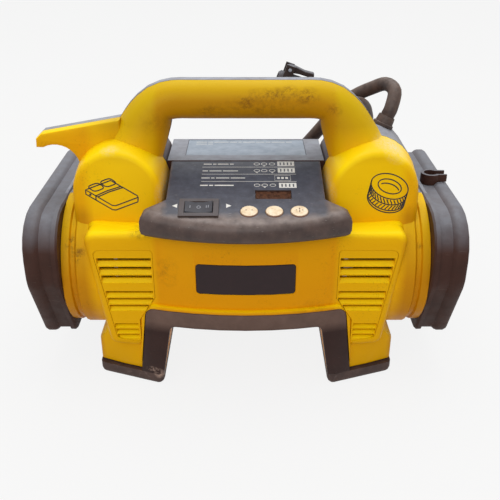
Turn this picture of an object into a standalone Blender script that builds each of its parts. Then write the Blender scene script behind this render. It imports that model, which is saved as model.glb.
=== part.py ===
"""Cordless tyre inflator and deflator.

Two moulded half shells meet on an upright seam and carry a handle, end caps, a control
panel and two louvred vent towers. Inside are a geared piston compressor for tyres and a
centrifugal blower for air beds. A short hose with a lever chuck lies behind the handle.

The model is laid out round the barrel's axis, on the seam between the two shells:
x to the right, y away from the control panel, z up. An empty lifts it on to its feet,
so that the origin is the middle of the footprint.
"""

import math

import bmesh
import bpy
from mathutils import Matrix, Vector

MM = 0.001

# ---- Layout ----
AXIS_HEIGHT = 90 * MM  # barrel axis above the floor
SEAM_OFFSET = -19 * MM  # seam from the middle of the depth
GAP = 0.3 * MM  # between mouldings that touch
WALL = 2.6 * MM

# ---- Barrel ----
BARREL_RADIUS = 56.5 * MM
BARREL_HALF = 129 * MM  # half length of the full section
RING_HALF = BARREL_HALF + 10 * MM
RING_DROP = 2.2 * MM
BODY_HALF = RING_HALF + 8 * MM
BODY_REAR = 112 * MM
REAR_TOP = 54 * MM
REAR_TOP_ROUND = 12 * MM
REAR_FOOT_ROUND = 38 * MM

# ---- End caps ----
CAP_DEPTH = 22 * MM
CAP_OUTER = BODY_HALF + CAP_DEPTH
CAP_FRONT = 60 * MM
CAP_LEAN = 30 * MM  # how far the cap's foot lies behind its front
CAP_TOP = 55 * MM
CAP_BOTTOM = 60 * MM
CAP_REAR = 116 * MM
CAP_NOSE_ROUND = 34 * MM
CAP_WALL = 3 * MM
BEAD_HEIGHT = 2.6 * MM
BEAD_WIDTH = 9 * MM
PORT_RADIUS = 13 * MM
PORT_WALL = 2.4 * MM
PORT_REACH = 9 * MM

# ---- Front block: fascia, vents and legs ----
BOW_RADIUS = 280 * MM
BOW_STEP = 20 * MM  # width of one flat in the bow
FASCIA_DEPTH = 68.6 * MM
BLOCK_TOP = 46.5 * MM
BLOCK_EDGE = 4.5 * MM
LEG_OUTER = 121.5 * MM
VENT_FOOT_X = LEG_OUTER - 10.5 * MM
VENT_FOOT_Z = -45 * MM
VENT_TOP_X = VENT_FOOT_X + 13 * MM
LEG_FLARE_Z = -58 * MM
LEG_INNER_TOP = 59 * MM
LEG_INNER_FOOT = 66.5 * MM
ARCH_Z = -32 * MM
ARCH_ROUND = 5 * MM
LEG_ROUND = 9 * MM
LEG_REAR = 71 * MM
LEG_ROOT_Z = -22 * MM  # the rear legs run up inside the barrel to here
SOLE_HEIGHT = 10 * MM

# ---- Dark trim across the front ----
TRIM_PROUD = 3.2 * MM
TRIM_THICK = 3.0 * MM
BAND_HEIGHT = 14 * MM
STRIP_WIDTH = 19 * MM
TRIM_ROUND = 7 * MM
FLARE_HEIGHT = 3.5 * MM
FLARE_PROUD = 3.4 * MM

# ---- Louvred vents ----
VENT_INNER_X = 70.5 * MM
VENT_LOWER_X = 83.5 * MM  # the inner edge steps out here to clear the dark trim
VENT_STEP_Z = -9.5 * MM
VENT_LOWER_Z = -29 * MM
VENT_BORDER = 4.5 * MM
VENT_PROUD = 3.0 * MM
VENT_FACE = BARREL_RADIUS + VENT_PROUD
VENT_SINK = 0.25 * MM
VENT_THICK = 5.4 * MM
VENT_LEDGE_Z = 36.5 * MM
SLOT_SHARE = 0.52  # of the pitch that is open
SLAT_DEPTH = 3 * MM
SLOT_GROUPS = ((25.5 * MM, 7.4 * MM), (-3.0 * MM, 6.2 * MM), (-32.5 * MM, 5.0 * MM))
SLOTS_IN_GROUP = 3

# ---- Towers ----
TOWER_X = 97.5 * MM
TOWER_Z = 66 * MM
TOWER_RADIUS = 35 * MM
TOWER_DRAFT = 2.6 * MM
TOWER_FACE = 46 * MM
TOWER_LEAN = 0.10
TOWER_EDGE = 5 * MM
TOWER_FOOT = 30 * MM
TOWER_REAR = 58 * MM
TOWER_REAR_EDGE = 14 * MM

# ---- Control panel and deck ----
DECK_Z = 82 * MM
DECK_REAR = 57 * MM
DECK_HALF = 62 * MM
PANEL_HALF = 59.3 * MM
PANEL_SLOPE = math.radians(13.5)
PANEL_THICK = 3 * MM
LIP_FRONT = 83 * MM
LIP_END = 68 * MM  # how far forward the lip's ends reach
LIP_HALF = 77 * MM
LIP_FOOT_Z = BLOCK_TOP + GAP
LIP_TOP_Z = 62 * MM
LIP_ROUND = 6 * MM

# ---- Controls ----
SWITCH_X = -34 * MM
SWITCH_Y = -61.5 * MM
SWITCH_SIZE = (29 * MM, 21 * MM)
ROCKER_SIZE = (19.5 * MM, 13 * MM)
ROCKER_TRAVEL = math.radians(9)
BEZEL_PROUD = 1.6 * MM
BUTTON_X = (2.5 * MM, 20.7 * MM, 38.8 * MM)
BUTTON_Y = -65.0 * MM
BUTTON_RADIUS = 6.5 * MM
BUTTON_PROUD = 1.5 * MM
BUTTON_TRAVEL = 1.0 * MM
DISPLAY_X = 20.5 * MM
DISPLAY_Y = -44.7 * MM
DISPLAY_SIZE = (27 * MM, 11 * MM)

SWITCH_BODY = (25.4 * MM, 17.4 * MM)
SWITCH_BODY_DEPTH = 13 * MM
ROCKER_SWING = 10.2 * MM  # radius of the rocker's ends about its pivot
BUTTON_FOOT = -7.0 * MM  # below the panel's face, as are the next two
BOARD_DROP = -9.6 * MM
BOSS_X = (-14 * MM, 50 * MM)
BOSS_ALONG = (-71 * MM, -28 * MM)

# ---- Handle ----
HANDLE_Y = 4 * MM
HANDLE_Z = 131 * MM
GRIP_RADIUS = 15.5 * MM
HANDLE_WALL = 3 * MM

# ---- Hose hook on the left shoulder ----
HOOK_DEPTH = 9 * MM
HOOK_TIP = -BODY_HALF - 15 * MM
HOOK_ROOT = -96 * MM
HOOK_BEND = 18.5 * MM

# ---- Battery bay ----
BAY_HALF = 57 * MM
BAY_FLOOR = -32 * MM
SOCKET_SIZE = (50 * MM, 34 * MM)
SOCKET_DEPTH = 40 * MM
SOCKET_Z = 36 * MM
SOCKET_WALL = 2.4 * MM

# ---- Blower, in the left drum ----
BLOWER_Y = 26 * MM
BLOWER_Z = -2 * MM
BLOWER_SIDE = BODY_HALF - 4 * MM  # outer face of the casing
BLOWER_WIDTH = 30 * MM
VOLUTE_SMALL = 34 * MM
VOLUTE_LARGE = 46 * MM
CASING_WALL = 2.2 * MM
BLOWER_OUTLET_X = -BLOWER_SIDE + BLOWER_WIDTH / 2
BLOWER_OUTLET_Z = BLOWER_Z + VOLUTE_LARGE - PORT_RADIUS - PORT_WALL
BLOWER_OUTLET_REAR = 100 * MM
BLOWER_MOTOR_RADIUS = 18 * MM
BLOWER_MOTOR_LENGTH = 46 * MM
IMPELLER_RADIUS = 29 * MM
IMPELLER_BLADES = 9
BLADE_THICK = 1.4 * MM
BLADE_HEIGHT = 17 * MM
SHAFT_RADIUS = 1.6 * MM
PLATE_THICK = 3 * MM
PLATE_FRONT = -34 * MM
PLATE_REAR = 62 * MM
PLATE_HALF = 40 * MM
TAB_HALF = 11 * MM

# ---- Compressor, in the right drum ----
COMPRESSOR_X = 78 * MM
PUMP_Y = 6 * MM
PUMP_Z = 8 * MM
GEAR_MODULE = 1.2 * MM
PINION_TEETH = 10
WHEEL_TEETH = 36
GEAR_WIDTH = 8 * MM
CRANK_THROW = 8 * MM
ROD_LENGTH = 36 * MM
ROD_WIDTH = 8 * MM
ROD_STANDOFF = 6.5 * MM
PISTON_RADIUS = 14 * MM
HEAD_HEIGHT = 13 * MM
HEAD_FINS = 4
DRIVE_MOTOR_RADIUS = 18.5 * MM
DRIVE_MOTOR_LENGTH = 52 * MM

# ---- Hose clip ----
CLIP_X = BODY_HALF + 8 * MM
CLIP_Y = 28 * MM
CLIP_BORE = 5.6 * MM
CLIP_WALL = 2.4 * MM
CLIP_MOUTH = 7.6 * MM
CLIP_PRONG = 12.5 * MM
CLIP_HEIGHT = 9 * MM

# ---- Hose, gland and chuck ----
HOSE_RADIUS = 5.7 * MM
GLAND_X = 112.5 * MM
GLAND_Y = 36 * MM
GLAND_FLANGE = 8.6 * MM
GLAND_NECK = 4.6 * MM
GLAND_HEIGHT = 9 * MM
GLAND_SINK = 1.3 * MM
CHUCK_TILT = math.radians(19)
CHUCK_LENGTH = 26 * MM
CHUCK_RADIUS = 7.0 * MM
CHUCK_START = (59 * MM, HANDLE_Y + GRIP_RADIUS + CHUCK_RADIUS + GAP, 129 * MM)
FERRULE_LENGTH = 10 * MM
PIN_RADIUS = 1.4 * MM
LEVER_LENGTH = 20 * MM
HOSE_STRAIGHT = 7 * MM  # straight out of the gland and into the ferrule
# chosen by hand, in millimetres, between the gland and the chuck
HOSE_ROUTE = (
    (121.5, 41.5, 121), (122, 49, 127), (118.5, 57, 129), (110.5, 65, 124.5),
    (101, 71.5, 119), (91, 78.5, 111), (80.5, 88, 98), (70, 99, 80), (58.5, 110, 61.5),
    (46, 118.5, 44.5), (31.5, 120.5, 31), (17.5, 121, 15.5), (8.5, 121, -2), (5, 121, -21),
    (8.5, 121, -40), (18.5, 121, -56.5), (34, 121, -68), (53, 121, -73.5), (73, 121, -72),
    (91, 121, -63), (104, 121, -48.5), (111, 121, -30), (113, 121.5, -10),
    (113.5, 121.5, 12), (113.5, 121, 33), (113, 117, 54), (111.5, 106, 73),
    (109, 91, 88), (105, 76, 99.5), (99.5, 61.5, 109.5), (91.5, 47.5, 115),
    (82, 36.5, 118.5), (74, 30, 122),
)

COLLECTION = "tyre_inflator"
CUTTERS = "construction"

YELLOW = ("housing_yellow", (0.72, 0.47, 0.0), 0.45, 0.0)
CHARCOAL = ("housing_charcoal", (0.032, 0.028, 0.028), 0.55, 0.0)
TRIM = ("trim_black", (0.022, 0.016, 0.015), 0.5, 0.0)
RUBBER = ("rubber_black", (0.02, 0.018, 0.017), 0.75, 0.0)
BUTTON = ("button_cream", (0.72, 0.58, 0.38), 0.5, 0.0)
LENS = ("display_lens", (0.05, 0.03, 0.02), 0.15, 0.0)
STEEL = ("steel", (0.55, 0.55, 0.56), 0.3, 1.0)
ALLOY = ("cast_aluminium", (0.62, 0.62, 0.63), 0.45, 1.0)
BRASS = ("brass", (0.68, 0.48, 0.2), 0.3, 1.0)
BOARD = ("circuit_board", (0.02, 0.16, 0.06), 0.5, 0.0)
NYLON = ("nylon_white", (0.7, 0.7, 0.66), 0.5, 0.0)


# ---------------------------------------------------------------- scene and materials

def clear_scene():
    for obj in list(bpy.data.objects):
        bpy.data.objects.remove(obj, do_unlink=True)


def collection(name, hidden=False):
    group = bpy.data.collections.get(name)
    if group is None:
        group = bpy.data.collections.new(name)
        bpy.context.scene.collection.children.link(group)
        group.hide_render = hidden
    return group


def material(spec):
    name, color, roughness, metallic = spec
    mat = bpy.data.materials.get(name)
    if mat is None:
        mat = bpy.data.materials.new(name)
        mat.use_nodes = True
        shader = mat.node_tree.nodes["Principled BSDF"]
        shader.inputs["Base Color"].default_value = (*color, 1.0)
        shader.inputs["Roughness"].default_value = roughness
        shader.inputs["Metallic"].default_value = metallic
        mat.diffuse_color = (*color, 1.0)
    return mat


def add_object(name, mesh, look=None, parent=None):
    """Link a mesh as a part, or as a hidden construction solid when it has no look."""
    obj = bpy.data.objects.new(name, mesh)
    if look is None:
        collection(CUTTERS, hidden=True).objects.link(obj)
        obj.hide_render = True
        obj.display_type = "WIRE"
    else:
        collection(COLLECTION).objects.link(obj)
        mesh.materials.append(material(look))
        mesh.shade_smooth()
        mesh.set_sharp_from_angle(angle=math.radians(32))
    obj.parent = parent or bpy.data.objects["inflator"]
    return obj


def finish_mesh(name, bm):
    bmesh.ops.recalc_face_normals(bm, faces=bm.faces)
    mesh = bpy.data.meshes.new(name)
    bm.to_mesh(mesh)
    bm.free()
    return mesh


def boolean(target, tool, operation):
    modifier = target.modifiers.new(operation.lower(), "BOOLEAN")
    modifier.operation = operation
    modifier.solver = "EXACT"
    modifier.object = tool
    return target


def join(target, *tools):
    for tool in tools:
        boolean(target, tool, "UNION")
    return target


def cut(target, *tools):
    for tool in tools:
        boolean(target, tool, "DIFFERENCE")
    return target


def keep(target, tool):
    return boolean(target, tool, "INTERSECT")


# ---------------------------------------------------------------- outlines

def arc(cx, cy, radius, start, end, steps):
    """Points on an arc, angles in degrees, both ends included."""
    points = []
    for i in range(steps + 1):
        angle = math.radians(start + (end - start) * i / steps)
        points.append(Vector((cx + radius * math.cos(angle), cy + radius * math.sin(angle))))
    return points


def rounded(corners, steps=4):
    """A closed outline from (x, y, radius) corners, each corner filleted."""
    outline = []
    count = len(corners)
    for i, (x, y, radius) in enumerate(corners):
        corner = Vector((x, y))
        before = (Vector(corners[i - 1][:2]) - corner).normalized()
        after = (Vector(corners[(i + 1) % count][:2]) - corner).normalized()
        if radius <= 0:
            outline.append(corner)
            continue
        half = before.angle(after) / 2
        reach = radius / math.tan(half)
        centre = corner + (before + after).normalized() * radius / math.sin(half)
        start = corner + before * reach - centre
        turn = start.angle_signed(corner + after * reach - centre)
        for k in range(steps + 1):
            spin = Matrix.Rotation(-turn * k / steps, 2)
            outline.append(centre + spin @ start)
    return outline


def inset(outline, distance):
    """Move a counter-clockwise outline inwards by a distance, mitred."""
    if isinstance(distance, (int, float)):
        distance = [distance] * len(outline)
    moved = []
    count = len(outline)
    for i, point in enumerate(outline):
        first = (point - outline[i - 1]).normalized()
        second = (outline[(i + 1) % count] - point).normalized()
        normal_a = Vector((-first.y, first.x))
        normal_b = Vector((-second.y, second.x))
        bisector = (normal_a + normal_b) / max(1 + normal_a.dot(normal_b), 0.35)
        moved.append(point + bisector * distance[i])
    return moved


def mirrored(half):
    """A whole outline from its right half, whose ends lie on the middle line."""
    left = [Vector((-p.x, p.y)) for p in reversed(half) if abs(p.x) > 1e-7]
    return list(half) + left


def smooth_path(points, steps):
    """Points on a Catmull-Rom curve through the given ones, ends included."""
    points = [Vector(p) for p in points]
    ends = [points[0] * 2 - points[1]] + points + [points[-1] * 2 - points[-2]]
    path = []
    for i in range(1, len(ends) - 2):
        a, b, c, d = ends[i - 1:i + 3]
        for k in range(steps):
            t = k / steps
            path.append(0.5 * (2 * b + (c - a) * t + (2 * a - 5 * b + 4 * c - d) * t ** 2
                               + (3 * b - a - 3 * c + d) * t ** 3))
    path.append(points[-1])
    return path


# ---------------------------------------------------------------- solids

def loft_mesh(name, rings):
    """A closed solid through rings of equal count, with flat ends."""
    bm = bmesh.new()
    rows = [[bm.verts.new(p) for p in ring] for ring in rings]
    count = len(rows[0])
    for low, high in zip(rows, rows[1:]):
        for i in range(count):
            j = (i + 1) % count
            bm.faces.new((low[i], low[j], high[j], high[i]))
    bm.faces.new(list(reversed(rows[0])))
    bm.faces.new(rows[-1])
    return finish_mesh(name, bm)


def loft(name, rings, look=None, parent=None):
    return add_object(name, loft_mesh(name, rings), look, parent)


def along_x(outline, x):
    return [Vector((x, p.x, p.y)) for p in outline]


def along_y(outline, y):
    return [Vector((p.x, y, p.y)) for p in outline]


def along_z(outline, z):
    return [Vector((p.x, p.y, z)) for p in outline]


def box(name, low, high, look=None, bevel=0.0, parent=None):
    """A box between two corners, with its long edges rounded when asked."""
    low = Vector(low)
    high = Vector(high)
    bm = bmesh.new()
    bmesh.ops.create_cube(bm, size=1.0)
    size = high - low
    bmesh.ops.scale(bm, vec=size, verts=bm.verts)
    if bevel:
        bmesh.ops.bevel(bm, geom=bm.edges[:], offset=bevel, segments=2, profile=0.5,
                        affect="EDGES")
    bmesh.ops.translate(bm, vec=(low + high) / 2, verts=bm.verts)
    return add_object(name, finish_mesh(name, bm), look, parent)


def turned(name, profile, origin, direction, look=None, steps=32, parent=None):
    """A turned solid: (radius, height) pairs from the axis down the outer side."""
    bm = bmesh.new()
    verts = [bm.verts.new((radius, 0, height)) for radius, height in profile]
    for a, b in zip(verts, verts[1:]):
        bm.edges.new((a, b))
    if profile[0][0] > 0:
        bm.edges.new((verts[-1], verts[0]))
    mesh = bpy.data.meshes.new(name)
    bm.to_mesh(mesh)
    bm.free()
    obj = add_object(name, mesh, look, parent)
    screw = obj.modifiers.new("turn", "SCREW")
    screw.axis = "Z"
    screw.steps = steps
    screw.render_steps = steps
    screw.use_merge_vertices = True
    screw.merge_threshold = 0.00001
    screw.use_smooth_shade = True
    obj.location = origin
    obj.rotation_mode = "QUATERNION"
    obj.rotation_quaternion = Vector((0, 0, 1)).rotation_difference(Vector(direction))
    return obj


def rod(name, start, end, radius, look=None, steps=24, edge=0.0, parent=None):
    """A round bar between two points, with chamfered ends when asked."""
    start = Vector(start)
    end = Vector(end)
    length = (end - start).length
    profile = [(0, length), (radius, length), (radius, 0), (0, 0)]
    if edge:
        profile = [(0, length), (radius - edge, length), (radius, length - edge),
                   (radius, edge), (radius - edge, 0), (0, 0)]
    return turned(name, profile, start, end - start, look, steps, parent)


def tube(name, start, end, outer, inner, look=None, steps=32, parent=None):
    start = Vector(start)
    end = Vector(end)
    length = (end - start).length
    profile = [(inner, length), (outer, length), (outer, 0), (inner, 0)]
    return turned(name, profile, start, end - start, look, steps, parent)


# ---------------------------------------------------------------- the bowed front

def bow(x):
    """How far the front falls back at x, in flats between the bow's strips."""
    def true_bow(at):
        return BOW_RADIUS - math.sqrt(BOW_RADIUS ** 2 - at ** 2)
    index = math.floor(abs(x) / BOW_STEP)
    low = index * BOW_STEP
    share = abs(x) / BOW_STEP - index
    return true_bow(low) * (1 - share) + true_bow(low + BOW_STEP) * share


def bowed_slab(name, outline, front, rear, edge, look=None, flare=0.0, lean=0.0,
               lean_from=0.0, bowed=1.0, segments=3, rear_bowed=False):
    """A slab standing on an outline in x and z, its front rounded at the edge and bowed.

    The outline is counter-clockwise as the front is seen. Front and rear are depths in y;
    flare widens the outline towards the rear, and lean tips the front back as it rises.
    """
    toward = 1 if rear > front else -1
    rings = []
    for k in range(segments + 1):
        angle = math.radians(90) * k / segments
        ring = inset(outline, edge * (1 - math.sin(angle)))
        rings.append((ring, front + toward * edge * (1 - math.cos(angle))))
    if edge == 0:
        rings = [(outline, front)]
    shoulder = rings[-1][1]
    rings.append((inset(outline, -flare), rear))
    mesh = loft_mesh(name, [along_y(ring, y) for ring, y in rings])
    bm = bmesh.new()
    bm.from_mesh(mesh)
    if bowed:
        reach = max(abs(p.x) for p in outline) + abs(flare)
        strips = int(reach / BOW_STEP)
        for i in range(-strips, strips + 1):
            geometry = bm.verts[:] + bm.edges[:] + bm.faces[:]
            bmesh.ops.bisect_plane(bm, geom=geometry, dist=1e-7, plane_no=(1, 0, 0),
                                   plane_co=(i * BOW_STEP, 0, 0))
    for vert in bm.verts:
        share = (rear - vert.co.y) / (rear - shoulder)
        weight = 1.0 if rear_bowed else min(max(share, 0.0), 1.0)
        fall = bowed * bow(vert.co.x) + lean * (vert.co.z - lean_from)
        vert.co.y += toward * weight * fall
    bm.to_mesh(mesh)
    bm.free()
    return add_object(name, mesh, look)


# ---------------------------------------------------------------- housing outlines

def side_outline(shrink=0.0, steps=18):
    """The barrel's section in y and z: round in front, square and tall behind."""
    top_angle = math.degrees(math.asin(REAR_TOP / BARREL_RADIUS))
    front = arc(0, 0, BARREL_RADIUS, 270, top_angle, steps)
    corners = [(BODY_REAR, REAR_TOP, REAR_TOP_ROUND),
               (BODY_REAR, -BARREL_RADIUS, REAR_FOOT_ROUND)]
    rear = []
    for y, z, radius in corners:
        upper = z > 0
        centre_z = z - radius if upper else z + radius
        start, end = (90, 0) if upper else (0, -90)
        rear += arc(y - radius, centre_z, radius, start, end, 3 if upper else 6)
    outline = list(reversed(front + rear))
    return inset(outline, shrink)


def cap_outline(shrink=0.0):
    """The end cap's section in y and z: flat on top, round in front, leaning below."""
    corners = [(-CAP_FRONT, CAP_TOP, CAP_NOSE_ROUND),
               (-CAP_FRONT - 1 * MM, 2 * MM, 26 * MM),
               (-CAP_LEAN, -CAP_BOTTOM, 11 * MM),
               (CAP_REAR, -CAP_BOTTOM, REAR_FOOT_ROUND),
               (CAP_REAR, CAP_TOP, REAR_TOP_ROUND)]
    return inset(rounded(corners, 5), shrink)


def block_half():
    """The right half of the front block's outline, from the middle of its foot up."""
    arch = rounded([(0, ARCH_Z, 0),
                    (LEG_INNER_TOP, ARCH_Z, ARCH_ROUND),
                    (LEG_INNER_FOOT, -AXIS_HEIGHT + SOLE_HEIGHT + GAP, 0),
                    (LEG_OUTER, -AXIS_HEIGHT + SOLE_HEIGHT + GAP, 0),
                    (LEG_OUTER, LEG_FLARE_Z, LEG_ROUND),
                    (VENT_FOOT_X, VENT_FOOT_Z, 6 * MM),
                    (VENT_TOP_X, BLOCK_TOP, 8 * MM),
                    (0, BLOCK_TOP, 0)], 4)
    return arch


def leg_outline(side, shrink=0.0, foot=-AXIS_HEIGHT + SOLE_HEIGHT + GAP, top=ARCH_Z):
    corners = [(LEG_INNER_TOP, top, 0),
               (LEG_INNER_FOOT, foot, 0),
               (LEG_OUTER, foot, 0),
               (LEG_OUTER, LEG_FLARE_Z, LEG_ROUND),
               (VENT_FOOT_X, VENT_FOOT_Z, 6 * MM),
               (VENT_FOOT_X, top, 0)]
    outline = [Vector((side * p.x, p.y)) for p in rounded(corners, 4)]
    if side < 0:
        outline.reverse()
    return inset(outline, shrink)


def tower_outline(side, shrink=0.0):
    """A tombstone: upright sides under a round top."""
    outline = [Vector((TOWER_X - TOWER_RADIUS, TOWER_FOOT)),
               Vector((TOWER_X + TOWER_RADIUS, TOWER_FOOT))]
    outline += arc(TOWER_X, TOWER_Z, TOWER_RADIUS, 0, 180, 9 if shrink else 15)
    outline = [Vector((side * p.x, p.y)) for p in outline]
    if side < 0:
        outline.reverse()
    return inset(outline, shrink)


def deck_outline(shrink=0.0):
    """The deck between the towers, in x and z."""
    half = rounded([(0, TOWER_FOOT, 0), (DECK_HALF, TOWER_FOOT, 0),
                    (DECK_HALF, DECK_Z, 0), (0, DECK_Z, 0)], 1)
    return inset(mirrored(half), shrink)


# ---------------------------------------------------------------- housing forms

def barrel_form(name, shrink=0.0, through=0.0):
    """The barrel along x, stepped down towards the caps."""
    stations = [(BODY_HALF + through, RING_DROP * 1.6), (RING_HALF + 4 * MM, RING_DROP * 1.6),
                (RING_HALF + 2.8 * MM, RING_DROP * 0.7), (RING_HALF - 3 * MM, RING_DROP * 0.7),
                (RING_HALF - 4 * MM, RING_DROP * 1.5), (BARREL_HALF + 3 * MM, RING_DROP * 1.5),
                (BARREL_HALF + 1 * MM, 0.0), (BARREL_HALF, 0.0)]
    if shrink:
        stations = [(BODY_HALF + through, RING_DROP * 1.6), (RING_HALF - 4 * MM, RING_DROP * 1.6),
                    (BARREL_HALF - 1 * MM, 0.0)]
    stations = [(-x, drop) for x, drop in stations] + [(x, drop) for x, drop in reversed(stations)]
    steps = 12 if shrink else 18
    return loft(name, [along_x(side_outline(shrink + drop, steps), x) for x, drop in stations])


def flange_form(name, side, flared=False):
    """The collar on the barrel's end that fills the mouth of its cap."""
    stations = [(BODY_HALF - 4.5 * MM, 2.2 * MM), (BODY_HALF - 3.3 * MM, 1.0 * MM),
                (BODY_HALF - 0.4 * MM, 1.0 * MM)]
    if flared:
        stations = [(RING_HALF - 1.5 * MM, 9.4 * MM), (BODY_HALF - 2.6 * MM, 1.4 * MM),
                    (BODY_HALF - 0.4 * MM, 1.0 * MM)]
    return loft(name, [along_x(cap_outline(drop), side * x) for x, drop in stations])


def handle_form(name, shrink=0.0):
    """The handle's bar and splayed legs, swept as ellipses in the seam plane."""
    half = [(0, HANDLE_Z, GRIP_RADIUS, GRIP_RADIUS),
            (40 * MM, HANDLE_Z, GRIP_RADIUS, GRIP_RADIUS),
            (55 * MM, HANDLE_Z - 0.2 * MM, GRIP_RADIUS, GRIP_RADIUS),
            (66 * MM, 127.5 * MM, 15.6 * MM, 16.5 * MM),
            (73.5 * MM, 118.5 * MM, 18.3 * MM, 18 * MM),
            (79.5 * MM, 107 * MM, 20.5 * MM, 20 * MM),
            (86 * MM, 93 * MM, 22.5 * MM, 22.5 * MM),
            (91 * MM, 78 * MM, 24.5 * MM, 26 * MM)]
    whole = [(-x, z, a, b) for x, z, a, b in reversed(half[1:])] + half
    path = smooth_path([Vector(p) for p in whole], 1 if shrink else 2)
    sides = 10 if shrink else 16
    rings = []
    for i, (x, z, a, b) in enumerate(path):
        ahead = path[min(i + 1, len(path) - 1)]
        behind = path[max(i - 1, 0)]
        tangent = Vector((ahead[0] - behind[0], 0, ahead[1] - behind[1])).normalized()
        across = Vector((-tangent.z, 0, tangent.x))
        centre = Vector((x, HANDLE_Y, z))
        ring = []
        for k in range(sides):
            angle = 2 * math.pi * (k + 0.5) / sides
            ring.append(centre + across * (a - shrink) * math.cos(angle)
                        + Vector((0, 1, 0)) * (b - shrink) * math.sin(angle))
        rings.append(ring)
    return loft(name, rings)


def hook_form(name, rear):
    """The hose hook on the left shoulder, one half in each shell."""
    outline = [Vector((HOOK_ROOT, 84 * MM)), Vector((HOOK_ROOT, 117.5 * MM)),
               Vector((HOOK_TIP + 5 * MM, 106.5 * MM)), Vector((HOOK_TIP + 0.5 * MM, 102.5 * MM)),
               Vector((HOOK_TIP, 95.5 * MM))]
    outline += arc(HOOK_TIP + 14 * MM, 79 * MM, HOOK_BEND, 118, 3, 10)
    outline.append(Vector((HOOK_TIP + 34 * MM, 72 * MM)))
    outline.append(Vector((HOOK_ROOT, 72 * MM)))
    face = HOOK_DEPTH if rear else -HOOK_DEPTH
    return bowed_slab(name, outline, face, 0.5 * MM * (-1 if rear else 1), 1.8 * MM,
                      bowed=0.0, segments=2)


def tower_form(name, side, rear, shrink=0.0):
    outline = tower_outline(side, shrink)
    through = 1 * MM
    if rear:
        return bowed_slab(name, inset(outline, -TOWER_DRAFT), TOWER_REAR - shrink, -through,
                          TOWER_REAR_EDGE, bowed=0.0, segments=2 if shrink else 4)
    return bowed_slab(name, outline, -TOWER_FACE + shrink, through, TOWER_EDGE,
                      flare=TOWER_DRAFT, lean=TOWER_LEAN, lean_from=TOWER_FOOT, bowed=0.3,
                      segments=1 if shrink else 3)


def block_form(name, shrink=0.0):
    outline = inset(mirrored(block_half()), shrink)
    return bowed_slab(name, outline, -FASCIA_DEPTH + shrink, 1 * MM, BLOCK_EDGE,
                      segments=1 if shrink else 2)


def rear_leg_form(name, side, shrink=0.0):
    outline = leg_outline(side, shrink, top=LEG_ROOT_Z)
    return bowed_slab(name, outline, LEG_REAR - shrink, -2 * MM, BLOCK_EDGE, bowed=0.0,
                      segments=1 if shrink else 2)


def joined(name, forms):
    base = forms[0]
    base.name = name
    join(base, *forms[1:])
    return base


def front_shell():
    outer = joined("front_outer", [
        block_form("block"), barrel_form("barrel"),
        tower_form("tower_left", -1, False), tower_form("tower_right", 1, False),
        handle_form("handle"), hook_form("hook", False),
        *vent_borders(), flare_form(),
        flange_form("flange_left", -1), flange_form("flange_right", 1)])
    inner = joined("front_inner", [
        block_form("block_core", WALL), barrel_form("barrel_core", WALL, 10 * MM),
        tower_form("tower_core_left", -1, False, WALL),
        tower_form("tower_core_right", 1, False, WALL),
        handle_form("handle_core", HANDLE_WALL)])
    shell = bowed_slab("front_shell", mirrored(rounded(
        [(0, -0.12, 0), (0.2, -0.12, 0), (0.2, 0.2, 0), (0, 0.2, 0)], 1)),
        -0.12, -0.5 * GAP, 0.0, YELLOW, bowed=0.0)
    keep(shell, outer)
    cut(shell, inner, deck_opening(), panel_seat(), *vent_windows(), trim_recess(), badge_recess())
    return shell


def panel_seat():
    """Room for the panel between the towers, down to its seat on the block."""
    seat = inset(panel_plan(), -GAP)
    return loft("panel_seat", [along_z(seat, BLOCK_TOP + 0.4 * GAP),
                               along_z(seat, DECK_Z + 5 * MM)])


def deck_opening():
    """The hole in the top of the block that the panel covers."""
    return box("deck_opening", (-PANEL_HALF + 3 * MM, -FASCIA_DEPTH + 12 * MM, BLOCK_TOP - 8 * MM),
               (PANEL_HALF - 3 * MM, 2 * MM, DECK_Z + 5 * MM))


def flare_form():
    """The lip of yellow moulding that stands out over the dark band."""
    top = ARCH_Z + BAND_HEIGHT
    half = rounded([(0, top, 0), (LEG_INNER_TOP + STRIP_WIDTH, top, TRIM_ROUND),
                    (LEG_INNER_TOP + STRIP_WIDTH + 4 * MM, -AXIS_HEIGHT + SOLE_HEIGHT + 10 * MM, 0),
                    (LEG_INNER_TOP + STRIP_WIDTH + 7.5 * MM, -AXIS_HEIGHT + SOLE_HEIGHT + 10 * MM, 0),
                    (LEG_INNER_TOP + STRIP_WIDTH + 3.5 * MM, top + FLARE_HEIGHT,
                     TRIM_ROUND + FLARE_HEIGHT),
                    (0, top + FLARE_HEIGHT, 0)], 4)
    return bowed_slab("flare", mirrored(half), -FASCIA_DEPTH - FLARE_PROUD,
                      -FASCIA_DEPTH + 4 * MM, 1.6 * MM, segments=2, rear_bowed=True)


# ---------------------------------------------------------------- vents

def vent_outline(side, grow=0.0):
    """The recessed vent panel: square inside, tapering down its outer edge."""
    corners = [(VENT_INNER_X, VENT_LEDGE_Z - VENT_BORDER, 2.5 * MM),
               (VENT_INNER_X, VENT_STEP_Z, 0),
               (VENT_LOWER_X, VENT_LOWER_Z, 0),
               (VENT_LOWER_X, VENT_FOOT_Z - 4 * MM, 2 * MM),
               (VENT_FOOT_X - 9 * MM, VENT_FOOT_Z - 1 * MM, 3 * MM),
               (VENT_TOP_X - VENT_BORDER - 4 * MM, VENT_LEDGE_Z - VENT_BORDER, 4 * MM)]
    outline = [Vector((side * p.x, p.y)) for p in rounded(corners, 3)]
    if side < 0:
        outline.reverse()
    return inset(outline, -grow)


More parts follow.
